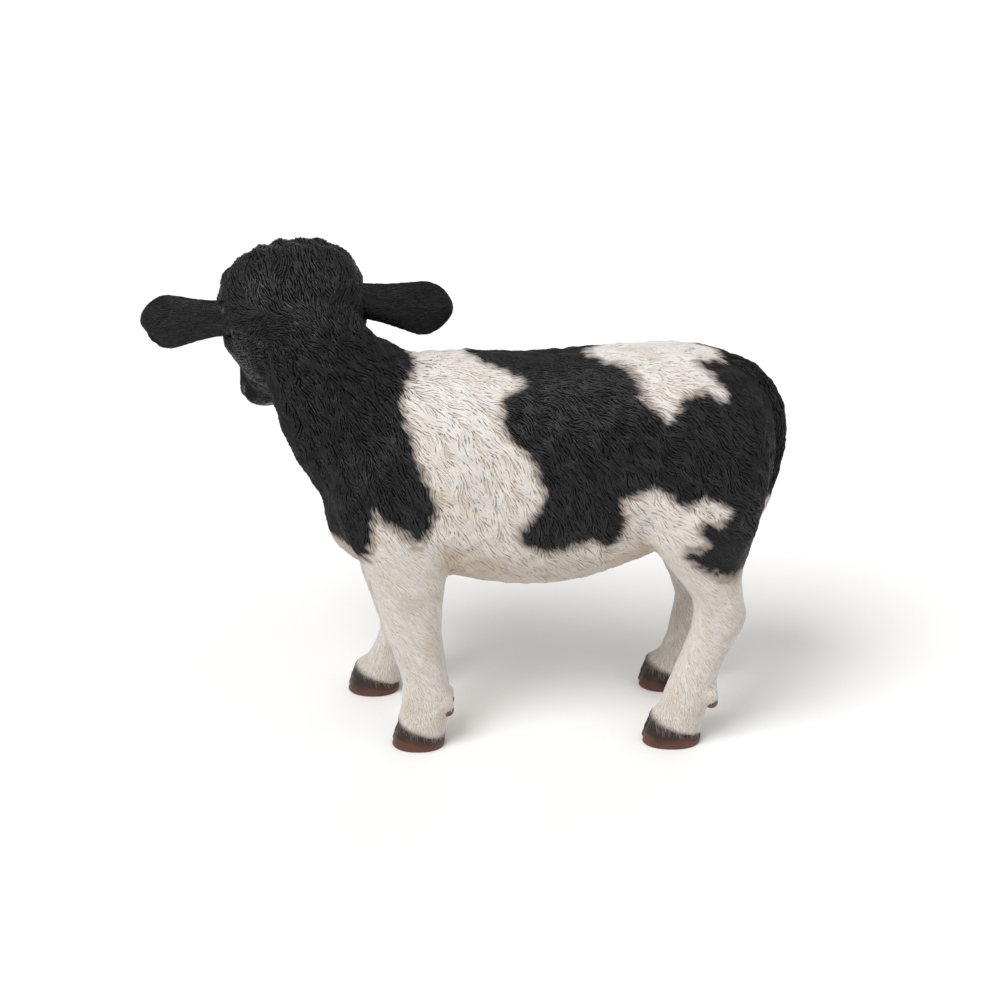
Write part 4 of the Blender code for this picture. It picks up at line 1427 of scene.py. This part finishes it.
patches = (unwrap[faces] * corner_weights(roots, ground[ground_corners[faces]])[..., None]).sum(1)
coat_piece = np.array([coat_name(kind, x, y) for kind, (x, y, z) in zip(root_kind, roots)])
fur_material = painted_material("tooled_resin_fur", 0.37, 0.35, 2600.0, specular=0.24)
skin_material = painted_material("painted_resin_skin", 0.42, 0.7, 900.0, specular=0.35)
horn_material = painted_material("painted_resin_horn", 0.40, 0.25, 900.0, coat=0.05, specular=0.35)
eye_material = painted_material("glossy_resin_eye", 0.09, 0.0, 300.0, mottle=0.04)

for name in np.unique(coat_piece):
    forms = []
    for rings in (2, 3):
        rows = np.flatnonzero((coat_piece == name) & (long == (rings == 3)))
        if len(rows) == 0:
            continue
        stations = rings + 2
        steps = own[rows, 0] / (stations - 1)
        walked = walk(tree, face_lie, roots[rows], steps, turns[rows], stations)
        share = np.linspace(0, 1, stations)[None, :, None]
        places, up = walked[..., :3], walked[..., 3:6]
        places = places + share * closing[rows][:, None] + share ** 1.5 * lock_lift[rows][:, None, None] * up
        colours = stroke_colours(walked[..., :3], root_kind[rows], tone[rows])
        forms.append(strokes(places, up, own[rows][:, [1, 2, 4]], colours, patches[rows]))
    mesh = strokes_mesh(name, forms)
    piece(name, mesh, fur_material)

skin.materials.clear()
paint(skin, skin_colours(points, kinds[:len(points)], normals[:len(points)]))
skin_piece = piece("skin", skin, skin_material)
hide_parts(*FLESH)
for side, (own_points, own_corners) in lids.items():
    mesh = mesh_from("lids_" + side, own_points, own_corners)
    paint(mesh, skin_colours(own_points, np.array(["head"] * len(own_points)), normals_of(mesh)))
    piece("lids_" + side, mesh, skin_material)
solid_forms = [("eyeball_" + side, "eye_" + side, form) for side, form in eyes.items()]
solid_forms += [("hoof_shell_" + foot, "hoof_" + foot, form) for foot, form in hooves.items()]
solid_forms += [(node + "_horn", node, form) for node, form in dewclaws.items()]
for name, node, (own_points, own_corners, colours) in solid_forms:
    mesh = mesh_from(name, own_points, own_corners)
    paint(mesh, colours)
    is_eye = name.startswith("eyeball")
    made = piece(name, mesh, eye_material if is_eye else horn_material)
    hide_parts(node)
bpy.data.meshes.remove(ground_mesh)

# ---------------------------------------------------------------- floor, light, camera

floor_mesh = mesh_from("floor", [(-3000, -3000, 0), (3000, -3000, 0), (3000, 3000, 0), (-3000, 3000, 0)],
                       [(0, 1, 2, 3)], smooth=False)
floor = linked("floor", floor_mesh)
floor_material = bpy.data.materials.new("pale_floor")
floor_material.use_nodes = True
floor_shader = floor_material.node_tree.nodes["Principled BSDF"]
floor_shader.inputs["Base Color"].default_value = (0.88, 0.875, 0.865, 1)
floor_shader.inputs["Roughness"].default_value = 0.7
floor.data.materials.append(floor_material)

world = bpy.data.worlds.new("studio")
bpy.context.scene.world = world
world.use_nodes = True
world.node_tree.nodes["Background"].inputs["Color"].default_value = (1.0, 0.99, 0.975, 1)
world.node_tree.nodes["Background"].inputs["Strength"].default_value = 0.52

bpy.context.scene.view_settings.view_transform = "Standard"
aim = Vector(AIM) * MM


def soft_light(name, direction, width, strength):
    """A wide, soft light from this side."""
    data = bpy.data.lights.new(name, "SUN")
    data.angle = math.radians(width)
    data.energy = strength
    lamp = linked(name, data)
    lamp.location = aim + Vector(direction)
    lamp.rotation_euler = (-Vector(direction)).to_track_quat("-Z", "Y").to_euler()


for light in LIGHTS:
    soft_light(*light)

camera_data = bpy.data.cameras.new("camera")
camera_data.lens = CAMERA_LENS
camera_data.sensor_width = 36.0
camera_data.clip_end = 20.0
camera = linked("camera", camera_data)
down = math.radians(CAMERA_ELEVATION)
camera.location = aim + CAMERA_DISTANCE * Vector((0, -math.cos(down), math.sin(down)))
camera.rotation_euler = (math.pi / 2 - down, 0, 0)
bpy.context.scene.camera = camera
